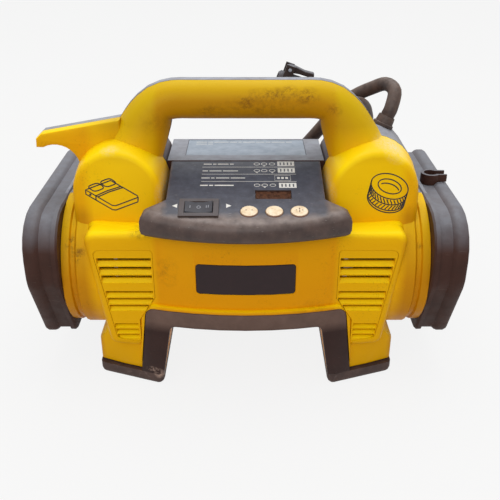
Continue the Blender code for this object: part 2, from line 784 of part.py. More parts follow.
def vent_borders():
    """The upright block round each vent, square to the front and proud of the barrel."""
    borders = []
    for side, label in ((-1, "left"), (1, "right")):
        top = BLOCK_TOP - 0.15 * MM
        corners = [(VENT_INNER_X - 2.5 * MM, top, 0),
                   (VENT_INNER_X - 2.5 * MM, VENT_STEP_Z, 0),
                   (VENT_LOWER_X - 2 * MM, VENT_LOWER_Z, 0),
                   (VENT_LOWER_X - 2 * MM, -55 * MM, 6 * MM),
                   (VENT_FOOT_X - 3 * MM, -52 * MM, 7 * MM),
                   (VENT_TOP_X - 1 * MM, top, 9 * MM)]
        outline = [Vector((side * p.x, p.y)) for p in rounded(corners, 4)]
        if side < 0:
            outline.reverse()
        borders.append(bowed_slab("vent_border_" + label, outline, -VENT_FACE,
                                  -VENT_FACE + 17 * MM, 5 * MM, bowed=0.0, segments=4))
    return borders


def vent_windows():
    windows = []
    for side, label in ((-1, "left"), (1, "right")):
        windows.append(bowed_slab("vent_window_" + label, vent_outline(side, GAP),
                                  -VENT_FACE - 12 * MM, -VENT_FACE + 22 * MM, 0.0, bowed=0.0))
    return windows


def louvre_section(top, pitch):
    """In y and z: a slot through the plate under which a slat slopes out to the face."""
    face = -VENT_FACE + VENT_SINK
    sill = top - SLOT_SHARE * pitch
    return [Vector((face - 3 * MM, top)),
            Vector((face + VENT_THICK + 3 * MM, top)),
            Vector((face + VENT_THICK + 3 * MM, sill)),
            Vector((face + SLAT_DEPTH, sill)),
            Vector((face + 0.6 * MM, top - pitch + 0.7 * MM)),
            Vector((face - 3 * MM, top - pitch + 0.7 * MM))]


def louvre_cutter(side, label):
    """Three groups of slats that grow narrower towards the foot."""
    cutters = []
    for top_z, pitch in SLOT_GROUPS:
        for i in range(SLOTS_IN_GROUP):
            z = top_z - i * pitch
            step = min(max((VENT_STEP_Z - z) / (VENT_STEP_Z - VENT_LOWER_Z), 0.0), 1.0)
            inner = VENT_INNER_X + step * (VENT_LOWER_X - VENT_INNER_X) + 1.2 * MM
            fall = (VENT_LEDGE_Z - z) / (VENT_LEDGE_Z - VENT_FOOT_Z)
            outer = VENT_TOP_X - VENT_BORDER - 5 * MM - fall * (VENT_TOP_X - VENT_FOOT_X)
            section = louvre_section(z, pitch)
            rings = [along_x(section, side * inner), along_x(section, side * outer)]
            cutters.append(loft("louvre_cutter_%s_%d" % (label, len(cutters)), rings))
    return cutters


def vent_grilles():
    for side, label in ((-1, "left"), (1, "right")):
        front = -VENT_FACE + VENT_SINK
        grille = bowed_slab("vent_grille_" + label, vent_outline(side), front,
                            front + VENT_THICK, 0.0, YELLOW, bowed=0.0)
        cut(grille, *louvre_cutter(side, label))


# ---------------------------------------------------------------- trim, badge and soles

def trim_outline(grow=0.0):
    """An arch: a band across the front with a strip down the inside of each leg."""
    foot = -AXIS_HEIGHT + SOLE_HEIGHT + GAP
    half = rounded([(0, ARCH_Z, 0), (LEG_INNER_TOP, ARCH_Z, ARCH_ROUND), (LEG_INNER_FOOT, foot, 0),
                    (LEG_INNER_FOOT + STRIP_WIDTH, foot, 0),
                    (LEG_INNER_TOP + STRIP_WIDTH, ARCH_Z + BAND_HEIGHT, TRIM_ROUND),
                    (0, ARCH_Z + BAND_HEIGHT, 0)], 4)
    return inset(mirrored(half), -grow)


def trim_recess():
    return bowed_slab("trim_recess", trim_outline(GAP), -FASCIA_DEPTH - 12 * MM,
                      -FASCIA_DEPTH - TRIM_PROUD + TRIM_THICK + GAP + 1 * MM, 0.0,
                      rear_bowed=True)


def front_trim():
    bowed_slab("front_trim", trim_outline(), -FASCIA_DEPTH - TRIM_PROUD,
               -FASCIA_DEPTH - TRIM_PROUD + TRIM_THICK + 1 * MM, 1.4 * MM, TRIM,
               rear_bowed=True, segments=2)


def badge_outline(grow=0.0):
    half = rounded([(0, -1 * MM, 0), (37.5 * MM, -1 * MM, 2.5 * MM),
                    (37.5 * MM, 24 * MM, 2.5 * MM), (0, 24 * MM, 0)], 3)
    return inset(mirrored(half), -grow)


def badge_recess():
    return bowed_slab("badge_recess", badge_outline(GAP), -FASCIA_DEPTH - 5 * MM,
                      -FASCIA_DEPTH + 1.2 * MM, 0.0, rear_bowed=True)


def badge_plate():
    bowed_slab("badge_plate", badge_outline(), -FASCIA_DEPTH - 0.4 * MM,
               -FASCIA_DEPTH + 1.2 * MM - GAP, 0.4 * MM, TRIM, rear_bowed=True, segments=1)


def soles():
    """Dark feet under both shells, one along each leg."""
    foot = -AXIS_HEIGHT
    for side, label in ((-1, "left"), (1, "right")):
        front = -FASCIA_DEPTH - TRIM_PROUD
        inner = LEG_INNER_FOOT + 0.3 * MM
        plan = [Vector((inner, front + bow(inner))), Vector((LEG_OUTER, front + bow(LEG_OUTER))),
                Vector((LEG_OUTER, LEG_REAR)), Vector((inner, LEG_REAR))]
        corners = [(p.x, p.y, 5 * MM) for p in plan]
        outline = [Vector((side * p.x, p.y)) for p in rounded(corners, 4)]
        if side < 0:
            outline.reverse()
        loft("sole_" + label, [along_z(inset(outline, 2.2 * MM), foot),
                               along_z(inset(outline, 0.8 * MM), foot + 1.6 * MM),
                               along_z(outline, foot + 4 * MM),
                               along_z(outline, foot + SOLE_HEIGHT)], RUBBER)


# ---------------------------------------------------------------- rear shell

def bay_form(name, grow=0.0):
    """The battery bay: open behind and above, with a shelf below."""
    front = DECK_REAR + 1 * MM
    return box(name, (-BAY_HALF - grow, front - grow, BAY_FLOOR - grow),
               (BAY_HALF + grow, BODY_REAR + 0.1, DECK_Z + 0.1))


def deck_form(name, shrink=0.0):
    return bowed_slab(name, deck_outline(shrink), DECK_REAR - shrink, -1.5 * MM, 3 * MM,
                      bowed=0.0, segments=2)


def rear_shell():
    outer = joined("rear_outer", [
        barrel_form("rear_barrel"), deck_form("rear_deck"),
        tower_form("rear_tower_left", -1, True), tower_form("rear_tower_right", 1, True),
        rear_leg_form("rear_leg_left", -1), rear_leg_form("rear_leg_right", 1),
        handle_form("rear_handle"), hook_form("rear_hook", True),
        flange_form("rear_flange_left", -1, True), flange_form("rear_flange_right", 1, True)])
    cut(outer, bay_form("bay"))
    inner = joined("rear_inner", [
        barrel_form("rear_barrel_core", WALL, 10 * MM), deck_form("rear_deck_core", WALL),
        tower_form("rear_tower_core_left", -1, True, WALL),
        tower_form("rear_tower_core_right", 1, True, WALL),
        rear_leg_form("rear_leg_core_left", -1, WALL),
        rear_leg_form("rear_leg_core_right", 1, WALL),
        handle_form("rear_handle_core", HANDLE_WALL)])
    cut(inner, bay_form("bay_walls", WALL))
    shell = bowed_slab("rear_shell", mirrored(rounded(
        [(0, -0.12, 0), (0.2, -0.12, 0), (0.2, 0.2, 0), (0, 0.2, 0)], 1)),
        0.16, 0.5 * GAP, 0.0, CHARCOAL, bowed=0.0)
    keep(shell, outer)
    cut(shell, inner, socket_opening(), outlet_opening(), gland_seat(), label_recess())
    return shell


def socket_box(name, grow, front, rear, look=None):
    half_x = SOCKET_SIZE[0] / 2 + grow
    half_z = SOCKET_SIZE[1] / 2 + grow
    return box(name, (-half_x, front, SOCKET_Z - half_z), (half_x, rear, SOCKET_Z + half_z), look)


def socket_opening():
    return socket_box("socket_opening", SOCKET_WALL + GAP, DECK_REAR - 8 * MM,
                      DECK_REAR + 5 * MM)


def battery_socket():
    """The pocket that a battery's stem slides into, and its row of blades."""
    mouth = DECK_REAR + 1 * MM
    floor = mouth - SOCKET_DEPTH
    socket = socket_box("battery_socket", SOCKET_WALL, floor, mouth, TRIM)
    cut(socket, socket_box("socket_pocket", 0, floor + SOCKET_WALL, mouth + 2 * MM))
    block = (26 * MM, 12 * MM)
    seat = floor + SOCKET_WALL + GAP
    terminals = box("battery_terminals", (-block[0] / 2, seat, SOCKET_Z - block[1] / 2),
                    (block[0] / 2, seat + 5 * MM, SOCKET_Z + block[1] / 2), NYLON)
    for i in range(4):
        x = (i - 1.5) * 6.4 * MM
        join(terminals, box("terminal_blade", (x - 0.4 * MM, seat + 2 * MM, SOCKET_Z - 4 * MM),
                            (x + 0.4 * MM, seat + 20 * MM, SOCKET_Z + 4 * MM)))


def outlet_opening():
    """The hole behind the left drum for the blower's outlet collar."""
    return rod("outlet_opening", (BLOWER_OUTLET_X, BODY_REAR - 9 * MM, BLOWER_OUTLET_Z),
               (BLOWER_OUTLET_X, BODY_REAR + 5 * MM, BLOWER_OUTLET_Z),
               PORT_RADIUS + PORT_WALL + GAP, steps=28)


def label_corners():
    return ((-48.5 * MM, 13 * MM), (48.5 * MM, DECK_REAR - 5 * MM))


def label_recess():
    low, high = label_corners()
    return box("label_recess", (low[0] - GAP, low[1] - GAP, DECK_Z - 1.1 * MM),
               (high[0] + GAP, high[1] + GAP, DECK_Z + 5 * MM))


def deck_label():
    low, high = label_corners()
    box("deck_label", (low[0], low[1], DECK_Z - 1.1 * MM + GAP),
        (high[0], high[1], DECK_Z - 0.2 * MM), CHARCOAL)


# ---------------------------------------------------------------- end caps

def end_cap(side, label):
    """A cup over the barrel's end with a bead round its outer rim."""
    inner_x = BODY_HALF + GAP
    floor_x = CAP_OUTER - CAP_WALL
    bead_x = CAP_OUTER - 3.5 * MM - BEAD_WIDTH
    stations = [(floor_x, CAP_WALL + 4 * MM), (floor_x, CAP_WALL + 1 * MM),
                (floor_x - 2 * MM, CAP_WALL), (inner_x, CAP_WALL),
                (inner_x, BEAD_HEIGHT), (bead_x, BEAD_HEIGHT),
                (bead_x + 2 * MM, BEAD_HEIGHT * 0.3), (bead_x + 4 * MM, 0.0),
                (bead_x + BEAD_WIDTH, 0.0), (CAP_OUTER - 1.2 * MM, BEAD_HEIGHT * 0.5),
                (CAP_OUTER, BEAD_HEIGHT + 1.5 * MM), (CAP_OUTER, 8 * MM)]
    rings = [along_x(cap_outline(drop), side * x) for x, drop in stations]
    return loft(label + "_end_cap", rings, CHARCOAL)


def end_caps():
    left = end_cap(-1, "left")
    hole = rod("inlet_opening", (-CAP_OUTER - 5 * MM, BLOWER_Y, BLOWER_Z),
               (-CAP_OUTER + 12 * MM, BLOWER_Y, BLOWER_Z), PORT_RADIUS + PORT_WALL + GAP, steps=28)
    cut(left, hole)
    end_cap(1, "right")


def hose_clip():
    """An upright C on top of the right end cap that a hose snaps into."""
    base = CAP_TOP - BEAD_HEIGHT
    middle = Vector((CLIP_X, CLIP_Y))
    half_mouth = math.degrees(math.asin(CLIP_MOUTH / 2 / CLIP_BORE))
    outline = []
    for x, y in ((CLIP_X + CLIP_PRONG, CLIP_Y - CLIP_MOUTH / 2 - CLIP_WALL * 0.8),):
        outline.append(Vector((x, y)))
        outline.append(Vector((x, CLIP_Y - CLIP_MOUTH / 2)))
    outline += arc(middle.x, middle.y, CLIP_BORE, -half_mouth, -360 + half_mouth, 20)
    outline.append(Vector((CLIP_X + CLIP_PRONG, CLIP_Y + CLIP_MOUTH / 2)))
    outline.append(Vector((CLIP_X + CLIP_PRONG, CLIP_Y + CLIP_MOUTH / 2 + CLIP_WALL * 0.8)))
    outer = CLIP_BORE + CLIP_WALL
    reach = math.degrees(math.asin((CLIP_MOUTH / 2 + CLIP_WALL * 0.8) / outer))
    outline += arc(middle.x, middle.y, outer, reach, 360 - reach, 24)
    clip = loft("hose_clip", [along_z(outline, base - 4 * MM),
                              along_z(outline, base + CLIP_HEIGHT)], TRIM)
    cap = [along_x(cap_outline(drop - GAP), x) for x, drop in
           ((BODY_HALF - 10 * MM, BEAD_HEIGHT),
            (CAP_OUTER - 3.5 * MM - BEAD_WIDTH - 0.1 * MM, BEAD_HEIGHT),
            (CAP_OUTER - BEAD_WIDTH - 1.5 * MM, BEAD_HEIGHT * 0.3),
            (CAP_OUTER - BEAD_WIDTH + 0.5 * MM, 0.0), (CAP_OUTER + 10 * MM, 0.0))]
    cut(clip, loft("clip_seat", cap))


def ports():
    """Collars for the wide air hose: one in the left cap, one behind the left drum."""
    outer = PORT_RADIUS + PORT_WALL
    tube("deflate_port", (-BLOWER_SIDE - GAP, BLOWER_Y, BLOWER_Z),
         (-CAP_OUTER, BLOWER_Y, BLOWER_Z), outer, PORT_RADIUS, CHARCOAL, steps=28)
    tube("inflate_port", (BLOWER_OUTLET_X, BLOWER_OUTLET_REAR + GAP, BLOWER_OUTLET_Z),
         (BLOWER_OUTLET_X, BODY_REAR + PORT_REACH, BLOWER_OUTLET_Z), outer, PORT_RADIUS,
         CHARCOAL, steps=28)


# ---------------------------------------------------------------- control panel

def panel_z(y):
    """Height of the panel's top at a depth."""
    return DECK_Z + y * math.tan(PANEL_SLOPE)


def panel_plan():
    """The panel's plan: a bowed lip with angled ends, narrowing between the towers."""
    chord = math.asin(LIP_HALF / lip_radius())
    front = arc(0, -LIP_FRONT + lip_radius(), lip_radius(), 270 - math.degrees(chord),
                270 + math.degrees(chord), 12)
    side = [Vector((LIP_HALF - 2 * MM, -58 * MM)), Vector((PANEL_HALF, -50 * MM)),
            Vector((PANEL_HALF, -0.5 * GAP - GAP))]
    return front + side + [Vector((-p.x, p.y)) for p in reversed(side)]


def lip_radius():
    """Radius of the lip's bow, from its reach in the middle and at its ends."""
    rise = LIP_FRONT - LIP_END
    return (LIP_HALF ** 2 + rise ** 2) / (2 * rise)


def control_panel():
    plan = panel_plan()
    weights = [1.0 if p.y < -55 * MM else 0.15 for p in plan]
    rings = []
    for k in range(4):
        angle = math.radians(90) * k / 3
        drop = LIP_ROUND * (1 - math.sin(angle))
        ring = inset(plan, [w * drop for w in weights])
        rings.append(along_z(ring, LIP_FOOT_Z + LIP_ROUND * (1 - math.cos(angle))))
    for k in range(4):
        angle = math.radians(90) * k / 3
        drop = LIP_ROUND * (1 - math.cos(angle))
        ring = inset(plan, [w * drop for w in weights])
        below = LIP_ROUND * (1 - math.sin(angle))
        rings.append([Vector((p.x, p.y, panel_z(p.y) - below)) for p in ring])
    panel = loft("control_panel", rings, TRIM)
    hollow_plan = inset(plan, PANEL_THICK)
    hollow = loft("panel_hollow", [along_z(hollow_plan, LIP_FOOT_Z - 2 * MM),
                                   [Vector((p.x, p.y, panel_z(p.y) - PANEL_THICK))
                                    for p in hollow_plan]])
    cut(panel, hollow)
    for x in BOSS_X:
        for along in BOSS_ALONG:
            boss = rod("panel_boss", (x, along, BOARD_DROP + GAP), (x, along, -PANEL_THICK / 2),
                       2.4 * MM, steps=10, parent=panel_axes())
            join(panel, boss)
    cut(panel, *panel_openings())
    return panel


def panel_axes():
    """An empty lying in the panel's sloping face, its y along the slope."""
    axes = bpy.data.objects.get("panel_axes")
    if axes is None:
        axes = bpy.data.objects.new("panel_axes", None)
        bpy.context.scene.collection.objects.link(axes)
        axes.parent = bpy.data.objects["inflator"]
        axes.location = (0, 0, DECK_Z)
        axes.rotation_euler = (PANEL_SLOPE, 0, 0)
    return axes


def on_slope(y):
    return y / math.cos(PANEL_SLOPE)


def panel_box(name, x, y, size, low, high, look=None, bevel=0.0):
    """A box in the panel's axes, round a point given in plan."""
    along = on_slope(y)
    return box(name, (x - size[0] / 2, along - size[1] / 2, low),
               (x + size[0] / 2, along + size[1] / 2, high), look, bevel, panel_axes())


def panel_openings():
    tools = [panel_box("display_opening", DISPLAY_X, DISPLAY_Y, DISPLAY_SIZE, -8 * MM, 5 * MM),
             panel_box("switch_opening", SWITCH_X, SWITCH_Y,
                       [side + 2 * GAP for side in SWITCH_BODY], -8 * MM, 5 * MM)]
    for x in BUTTON_X:
        tools.append(rod("button_opening", (x, on_slope(BUTTON_Y), -8 * MM),
                         (x, on_slope(BUTTON_Y), 5 * MM), BUTTON_RADIUS + GAP, steps=18,
                         parent=panel_axes()))
    return tools


# ---------------------------------------------------------------- controls

def switch():
    """A rocker switch: a flanged body in the panel, and the rocker on its pivot."""
    bezel = panel_box("switch_bezel", SWITCH_X, SWITCH_Y, SWITCH_SIZE, GAP, BEZEL_PROUD, TRIM,
                      0.5 * MM)
    body = panel_box("switch_body", SWITCH_X, SWITCH_Y, SWITCH_BODY, -SWITCH_BODY_DEPTH, 1 * MM)
    pocket_size = (2 * (ROCKER_SWING + GAP), ROCKER_SIZE[1] + 2 * GAP)
    pocket = panel_box("switch_pocket", SWITCH_X, SWITCH_Y, pocket_size,
                       -SWITCH_BODY_DEPTH + 2 * MM, 5 * MM)
    join(bezel, body)
    cut(bezel, pocket)
    top = 2.7 * MM
    foot = -4.5 * MM
    end = math.degrees(math.asin(top / ROCKER_SWING))
    low = math.degrees(math.asin(foot / ROCKER_SWING))
    outline = arc(0, 0, ROCKER_SWING, low, end, 5)
    outline += [Vector((3.5 * MM, 1.4 * MM)), Vector((-3.5 * MM, 1.4 * MM))]
    outline += [Vector((-p.x, p.y)) for p in reversed(arc(0, 0, ROCKER_SWING, low, end, 5))]
    half = ROCKER_SIZE[1] / 2
    rings = [along_y(inset(outline, 0.5 * MM), -half), along_y(outline, -half + 0.5 * MM),
             along_y(outline, half - 0.5 * MM), along_y(inset(outline, 0.5 * MM), half)]
    rocker = loft("rocker_switch", rings, RUBBER, panel_axes())
    rocker.location = (SWITCH_X, on_slope(SWITCH_Y), 0)


def buttons():
    """Three round buttons, each held under the panel by its flange."""
    for number, x in enumerate(BUTTON_X, start=1):
        flange = BUTTON_RADIUS + 1.4 * MM
        under = -PANEL_THICK - GAP
        profile = [(0, BUTTON_PROUD), (BUTTON_RADIUS * 0.7, BUTTON_PROUD - 0.25 * MM),
                   (BUTTON_RADIUS - 0.5 * MM, BUTTON_PROUD - 0.7 * MM),
                   (BUTTON_RADIUS, BUTTON_PROUD - 1.3 * MM), (BUTTON_RADIUS, under),
                   (flange, under), (flange, under - 1 * MM), (2 * MM, under - 1 * MM),
                   (2 * MM, BUTTON_FOOT), (0, BUTTON_FOOT)]
        turned("button_%d" % number, profile, (x, on_slope(BUTTON_Y), 0), (0, 0, 1), BUTTON,
               steps=18, parent=panel_axes())


def display():
    lens = [side - 2 * GAP for side in DISPLAY_SIZE]
    panel_box("display_lens", DISPLAY_X, DISPLAY_Y, lens, -2.6 * MM, -1.0 * MM, LENS)
    module = [side + 3 * MM for side in DISPLAY_SIZE]
    panel_box("display_module", DISPLAY_X, DISPLAY_Y, module, BOARD_DROP + GAP,
              -PANEL_THICK - GAP, NYLON, 0.4 * MM)


def circuit_board():
    """The board under the panel, with a tactile switch below each button."""
    low = (SWITCH_X + SWITCH_BODY[0] / 2 + 3 * MM, BUTTON_Y - 10 * MM, BOARD_DROP - 1.6 * MM)
    high = (PANEL_HALF - 6 * MM, DISPLAY_Y + 20.7 * MM, BOARD_DROP)
    board = box("circuit_board", low, high, BOARD, parent=panel_axes())
    for x in BUTTON_X:
        join(board, panel_box("tactile_switch", x, BUTTON_Y, (6 * MM, 6 * MM),
                              BOARD_DROP - 0.5 * MM, BUTTON_FOOT - BUTTON_TRAVEL - GAP))
    x = DISPLAY_X + 18.5 * MM
    y = high[1] - 3 * MM
    sensor = box("pressure_sensor", (x - 5 * MM, y - 9 * MM, BOARD_DROP + GAP),
                 (x + 5 * MM, y, BOARD_DROP + 4.3 * MM), RUBBER, 0.5 * MM, panel_axes())
    nozzle = rod("sensor_nozzle", (x, y - 1 * MM, BOARD_DROP + 2.3 * MM),
                 (x, y + 6 * MM, BOARD_DROP + 2.3 * MM), 1.4 * MM, steps=10,
                 parent=panel_axes())
    join(sensor, nozzle)


# ---------------------------------------------------------------- blower

def volute_outline():
    """The blower's snail in y and z: a growing spiral that leaves into a straight duct."""
    points = []
    for i in range(21):
        turn = i / 20
        angle = math.radians(90 - 330 * turn)
        radius = VOLUTE_SMALL + (VOLUTE_LARGE - VOLUTE_SMALL) * turn
        points.append(Vector((BLOWER_Y + radius * math.cos(angle),
                              BLOWER_Z + radius * math.sin(angle))))
    return list(reversed(points))


def blower():
    """Motor, plate, snail casing and impeller, on one axis along the left drum."""
    side = -BLOWER_SIDE
    inner = side + BLOWER_WIDTH
    outline = volute_outline()
    casing = loft("blower_casing", [along_x(outline, side), along_x(outline, inner)], CHARCOAL)
    duct_half = PORT_RADIUS + PORT_WALL
    duct = box("duct", (side, BLOWER_Y - 18 * MM, BLOWER_OUTLET_Z - duct_half),
               (inner, BLOWER_OUTLET_REAR, BLOWER_OUTLET_Z + duct_half))
    join(casing, duct)
    core = inset(outline, CASING_WALL)
    hollow = loft("casing_hollow", [along_x(core, side + CASING_WALL),
                                    along_x(core, inner - CASING_WALL)])
    channel = box("duct_hollow", (side + CASING_WALL, BLOWER_Y - 14 * MM,
                                  BLOWER_OUTLET_Z - duct_half + CASING_WALL),
                  (inner - CASING_WALL, BLOWER_OUTLET_REAR + 2 * MM,
                   BLOWER_OUTLET_Z + duct_half - CASING_WALL))
    join(hollow, channel)
    eye = rod("casing_eye", (side - 2 * MM, BLOWER_Y, BLOWER_Z),
              (side + 4 * MM, BLOWER_Y, BLOWER_Z), PORT_RADIUS, steps=28)
    shaft_hole = rod("casing_shaft_hole", (inner - 4 * MM, BLOWER_Y, BLOWER_Z),
                     (inner + 2 * MM, BLOWER_Y, BLOWER_Z), 5 * MM, steps=16)
    cut(casing, hollow, eye, shaft_hole)
    impeller(inner)
    motor("blower_motor", Vector((inner + GAP, BLOWER_Y, BLOWER_Z)), 1, BLOWER_MOTOR_RADIUS,
          BLOWER_MOTOR_LENGTH, 12 * MM)
    mounting_plate("blower_bracket", inner + 8 * MM, BLOWER_Y, BLOWER_Z,
                   BLOWER_MOTOR_RADIUS + GAP)


def blade_outline(turn):
    """One swept blade of the impeller seen along its shaft."""
    spin = Matrix.Rotation(turn, 2)
    line = [spin @ (p + Vector((4 * MM, 0))) for p in arc(0, 18 * MM, 16 * MM, -88, -20, 3)]
    sides = []
    for before, after in zip([line[0], *line], [*line[1:], line[-1]]):
        along = (after - before).normalized()
        sides.append(Vector((-along.y, along.x)) * BLADE_THICK / 2)
    upper = [p + side for p, side in zip(line, sides)]
    lower = [p - side for p, side in zip(line, sides)]
    return upper + lower[::-1]


def impeller(inner):
    """A back plate with swept blades and a bored hub, turning inside the casing."""
    back = inner - CASING_WALL - 3 * MM
    hub = 7 * MM
    profile = [(0, 13 * MM), (hub - 1 * MM, 13 * MM), (hub, 12 * MM), (hub, 2 * MM),
               (IMPELLER_RADIUS, 2 * MM), (IMPELLER_RADIUS, 0), (0, 0)]
    wheel = turned("blower_impeller", profile, (back, BLOWER_Y, BLOWER_Z), (-1, 0, 0), NYLON,
                   steps=24)
    for i in range(IMPELLER_BLADES):
        outline = blade_outline(2 * math.pi * i / IMPELLER_BLADES)
        blade = loft("impeller_blade", [along_z(outline, 1 * MM), along_z(outline, BLADE_HEIGHT)])
        blade.matrix_basis = wheel.matrix_basis
        join(wheel, blade)
    cut(wheel, rod("impeller_bore", (back + 5 * MM, BLOWER_Y, BLOWER_Z),
                   (back - 9 * MM, BLOWER_Y, BLOWER_Z), SHAFT_RADIUS + GAP, steps=16))


def motor(name, face, direction, radius, length, shaft):
    """A can motor lying along x: its face, the way its can runs, and its shaft."""
    profile = [(0, length + 3 * MM), (4 * MM, length + 3 * MM), (4 * MM, length),
               (radius - 2 * MM, length), (radius, length - 2 * MM), (radius, 1.5 * MM),
               (radius - 1.5 * MM, 0), (SHAFT_RADIUS, 0), (SHAFT_RADIUS, -shaft),
               (0, -shaft)]
    return turned(name, profile, face, (direction, 0, 0), STEEL, steps=20)


def mounting_plate(name, x, hole_y, hole_z, hole_radius):
    """A plate across the drum, with a tab that reaches the drum's back wall."""
    back = BODY_REAR - WALL - GAP
    outline = rounded([(PLATE_FRONT, -PLATE_HALF, 4 * MM), (PLATE_REAR, -PLATE_HALF, 4 * MM),
                       (PLATE_REAR, -TAB_HALF, 3 * MM), (back, -TAB_HALF, 0),
                       (back, TAB_HALF, 0), (PLATE_REAR, TAB_HALF, 3 * MM),
                       (PLATE_REAR, PLATE_HALF, 4 * MM), (PLATE_FRONT, PLATE_HALF, 4 * MM)], 2)
    plate = loft(name, [along_x(outline, x), along_x(outline, x + PLATE_THICK)], ALLOY)
    cut(plate, rod(name + "_hole", (x - 5 * MM, hole_y, hole_z), (x + 8 * MM, hole_y, hole_z),
                   hole_radius, steps=20))
    return plate


# ---------------------------------------------------------------- compressor

def gear_outline(teeth):
    """A spur gear's outline with straight-flanked teeth."""
    outline = []
    pitch = GEAR_MODULE * teeth / 2
    step = 2 * math.pi / teeth
    for i in range(teeth):
        for share, radius in ((-0.34, pitch - 1.15 * GEAR_MODULE), (-0.15, pitch + 0.9 * GEAR_MODULE),
                              (0.15, pitch + 0.9 * GEAR_MODULE), (0.34, pitch - 1.15 * GEAR_MODULE)):
            angle = (i + share) * step
            outline.append(Vector((radius * math.cos(angle), radius * math.sin(angle))))
    return outline


def gear(name, teeth, centre, width, bore, look, phase=0.0):
    """A gear lying across x, from its centre along the axis by its width."""
    outline = []
    for p in gear_outline(teeth):
        spun = Matrix.Rotation(phase, 2) @ p
        outline.append(Vector((centre.y + spun.x, centre.z + spun.y)))
    wheel = loft(name, [along_x(outline, centre.x), along_x(outline, centre.x + width)], look)
    if bore:
        cut(wheel, rod(name + "_bore", (centre.x - 2 * MM, centre.y, centre.z),
                       (centre.x + width - 1 * MM, centre.y, centre.z), bore, steps=16))
    return wheel


def compressor():
    """A geared crank, a rocking piston and a cylinder, on one plate in the right drum."""
    plate_x = COMPRESSOR_X
    pump = Vector((plate_x + PLATE_THICK + 1 * MM, PUMP_Y, PUMP_Z))
    distance = GEAR_MODULE * (PINION_TEETH + WHEEL_TEETH) / 2 + 0.3 * MM
    drive = Vector((pump.x, PUMP_Y, PUMP_Z - distance))
    plate = mounting_plate("compressor_bracket", plate_x, drive.y, drive.z, 6 * MM)
    journal = 4 * MM
    cut(plate, rod("journal_hole", (plate_x - 5 * MM, PUMP_Y, PUMP_Z),
                   (plate_x + 9 * MM, PUMP_Y, PUMP_Z), journal + GAP, steps=20))
    motor("compressor_motor", Vector((plate_x - GAP, drive.y, drive.z)), -1,
          DRIVE_MOTOR_RADIUS, DRIVE_MOTOR_LENGTH, PLATE_THICK + GEAR_WIDTH)
    gear("drive_pinion", PINION_TEETH, drive, GEAR_WIDTH, SHAFT_RADIUS + GAP, BRASS,
         math.pi / 2 + math.pi / PINION_TEETH)
    wheel = gear("crank_gear", WHEEL_TEETH, pump, GEAR_WIDTH, 0, STEEL,
                 math.pi / 2)
    join(wheel, rod("crank_journal", (plate_x - 2 * MM, PUMP_Y, PUMP_Z),
                    (pump.x + 2 * MM, PUMP_Y, PUMP_Z), journal, steps=20))
    pin_y = PUMP_Y + CRANK_THROW
    rod_x = pump.x + GEAR_WIDTH + ROD_STANDOFF
    join(wheel, rod("crank_pin", (pump.x + 2 * MM, pin_y, PUMP_Z),
                    (rod_x + ROD_WIDTH + 2 * MM, pin_y, PUMP_Z), 3 * MM, steps=16))
    crown = pin_y + ROD_LENGTH
    middle = rod_x + ROD_WIDTH / 2
    piston = rod("piston_rod", (middle, crown - 5 * MM, PUMP_Z), (middle, crown, PUMP_Z),
                 PISTON_RADIUS, ALLOY, steps=20, edge=0.6 * MM)
    join(piston, box("rod_shank", (rod_x + 1.5 * MM, pin_y + 5 * MM, PUMP_Z - 4 * MM),
                     (rod_x + ROD_WIDTH - 1.5 * MM, crown - 2 * MM, PUMP_Z + 4 * MM)),
         rod("rod_eye", (rod_x, pin_y, PUMP_Z), (rod_x + ROD_WIDTH, pin_y, PUMP_Z), 7 * MM,
             steps=24))
    cut(piston, rod("rod_bore", (rod_x - 2 * MM, pin_y, PUMP_Z),
                    (rod_x + ROD_WIDTH + 2 * MM, pin_y, PUMP_Z), 3 * MM + GAP, steps=16))
    top = crown + 1.5 * MM
    bore = PISTON_RADIUS + GAP
    skirt = top - 2 * CRANK_THROW - 6 * MM
    tube("pump_cylinder", (middle, skirt, PUMP_Z), (middle, top, PUMP_Z), bore + 3 * MM, bore,
         ALLOY, steps=20)
    rim = bore + 4 * MM
    profile = [(0, 20 * MM), (2.6 * MM, 20 * MM), (2.6 * MM, HEAD_HEIGHT),
               (rim - 1 * MM, HEAD_HEIGHT), (rim, HEAD_HEIGHT - 1 * MM)]
    for i in range(HEAD_FINS - 1):
        at = HEAD_HEIGHT - (2.6 + 3 * i) * MM
        profile += [(rim, at), (rim - 4 * MM, at), (rim - 4 * MM, at - 1.4 * MM),
                    (rim, at - 1.4 * MM)]
    profile += [(rim, 0), (0, 0)]
    turned("cylinder_head", profile, (middle, top + GAP, PUMP_Z), (0, 1, 0), ALLOY, steps=16)
    saddle_x = middle - bore - 3 * MM - GAP
    join(plate, box("cylinder_saddle", (plate_x + 1 * MM, skirt + 1 * MM, PUMP_Z - 10 * MM),
                    (saddle_x, top - 1 * MM, PUMP_Z + 10 * MM)))


# ---------------------------------------------------------------- hose, gland and chuck

def gland_direction():
    return Vector((0.40, 0.12, 0.91)).normalized()


def gland_base():
    """Where the gland sits on the round top of the right rear tower."""
    radius = TOWER_RADIUS + TOWER_DRAFT
    lean = math.asin((GLAND_X - TOWER_X) / radius)
    return Vector((GLAND_X, GLAND_Y, TOWER_Z + radius * math.cos(lean) - GLAND_SINK))


def gland_seat():
    """A spot face and a hole through the tower's top for the gland."""
    face = GLAND_FLANGE + GAP
    hole = GLAND_NECK + GAP
    profile = [(0, 12 * MM), (face, 12 * MM), (face, 0), (hole, 0), (hole, -8 * MM), (0, -8 * MM)]
    return turned("gland_seat", profile, gland_base(), gland_direction(), steps=20)


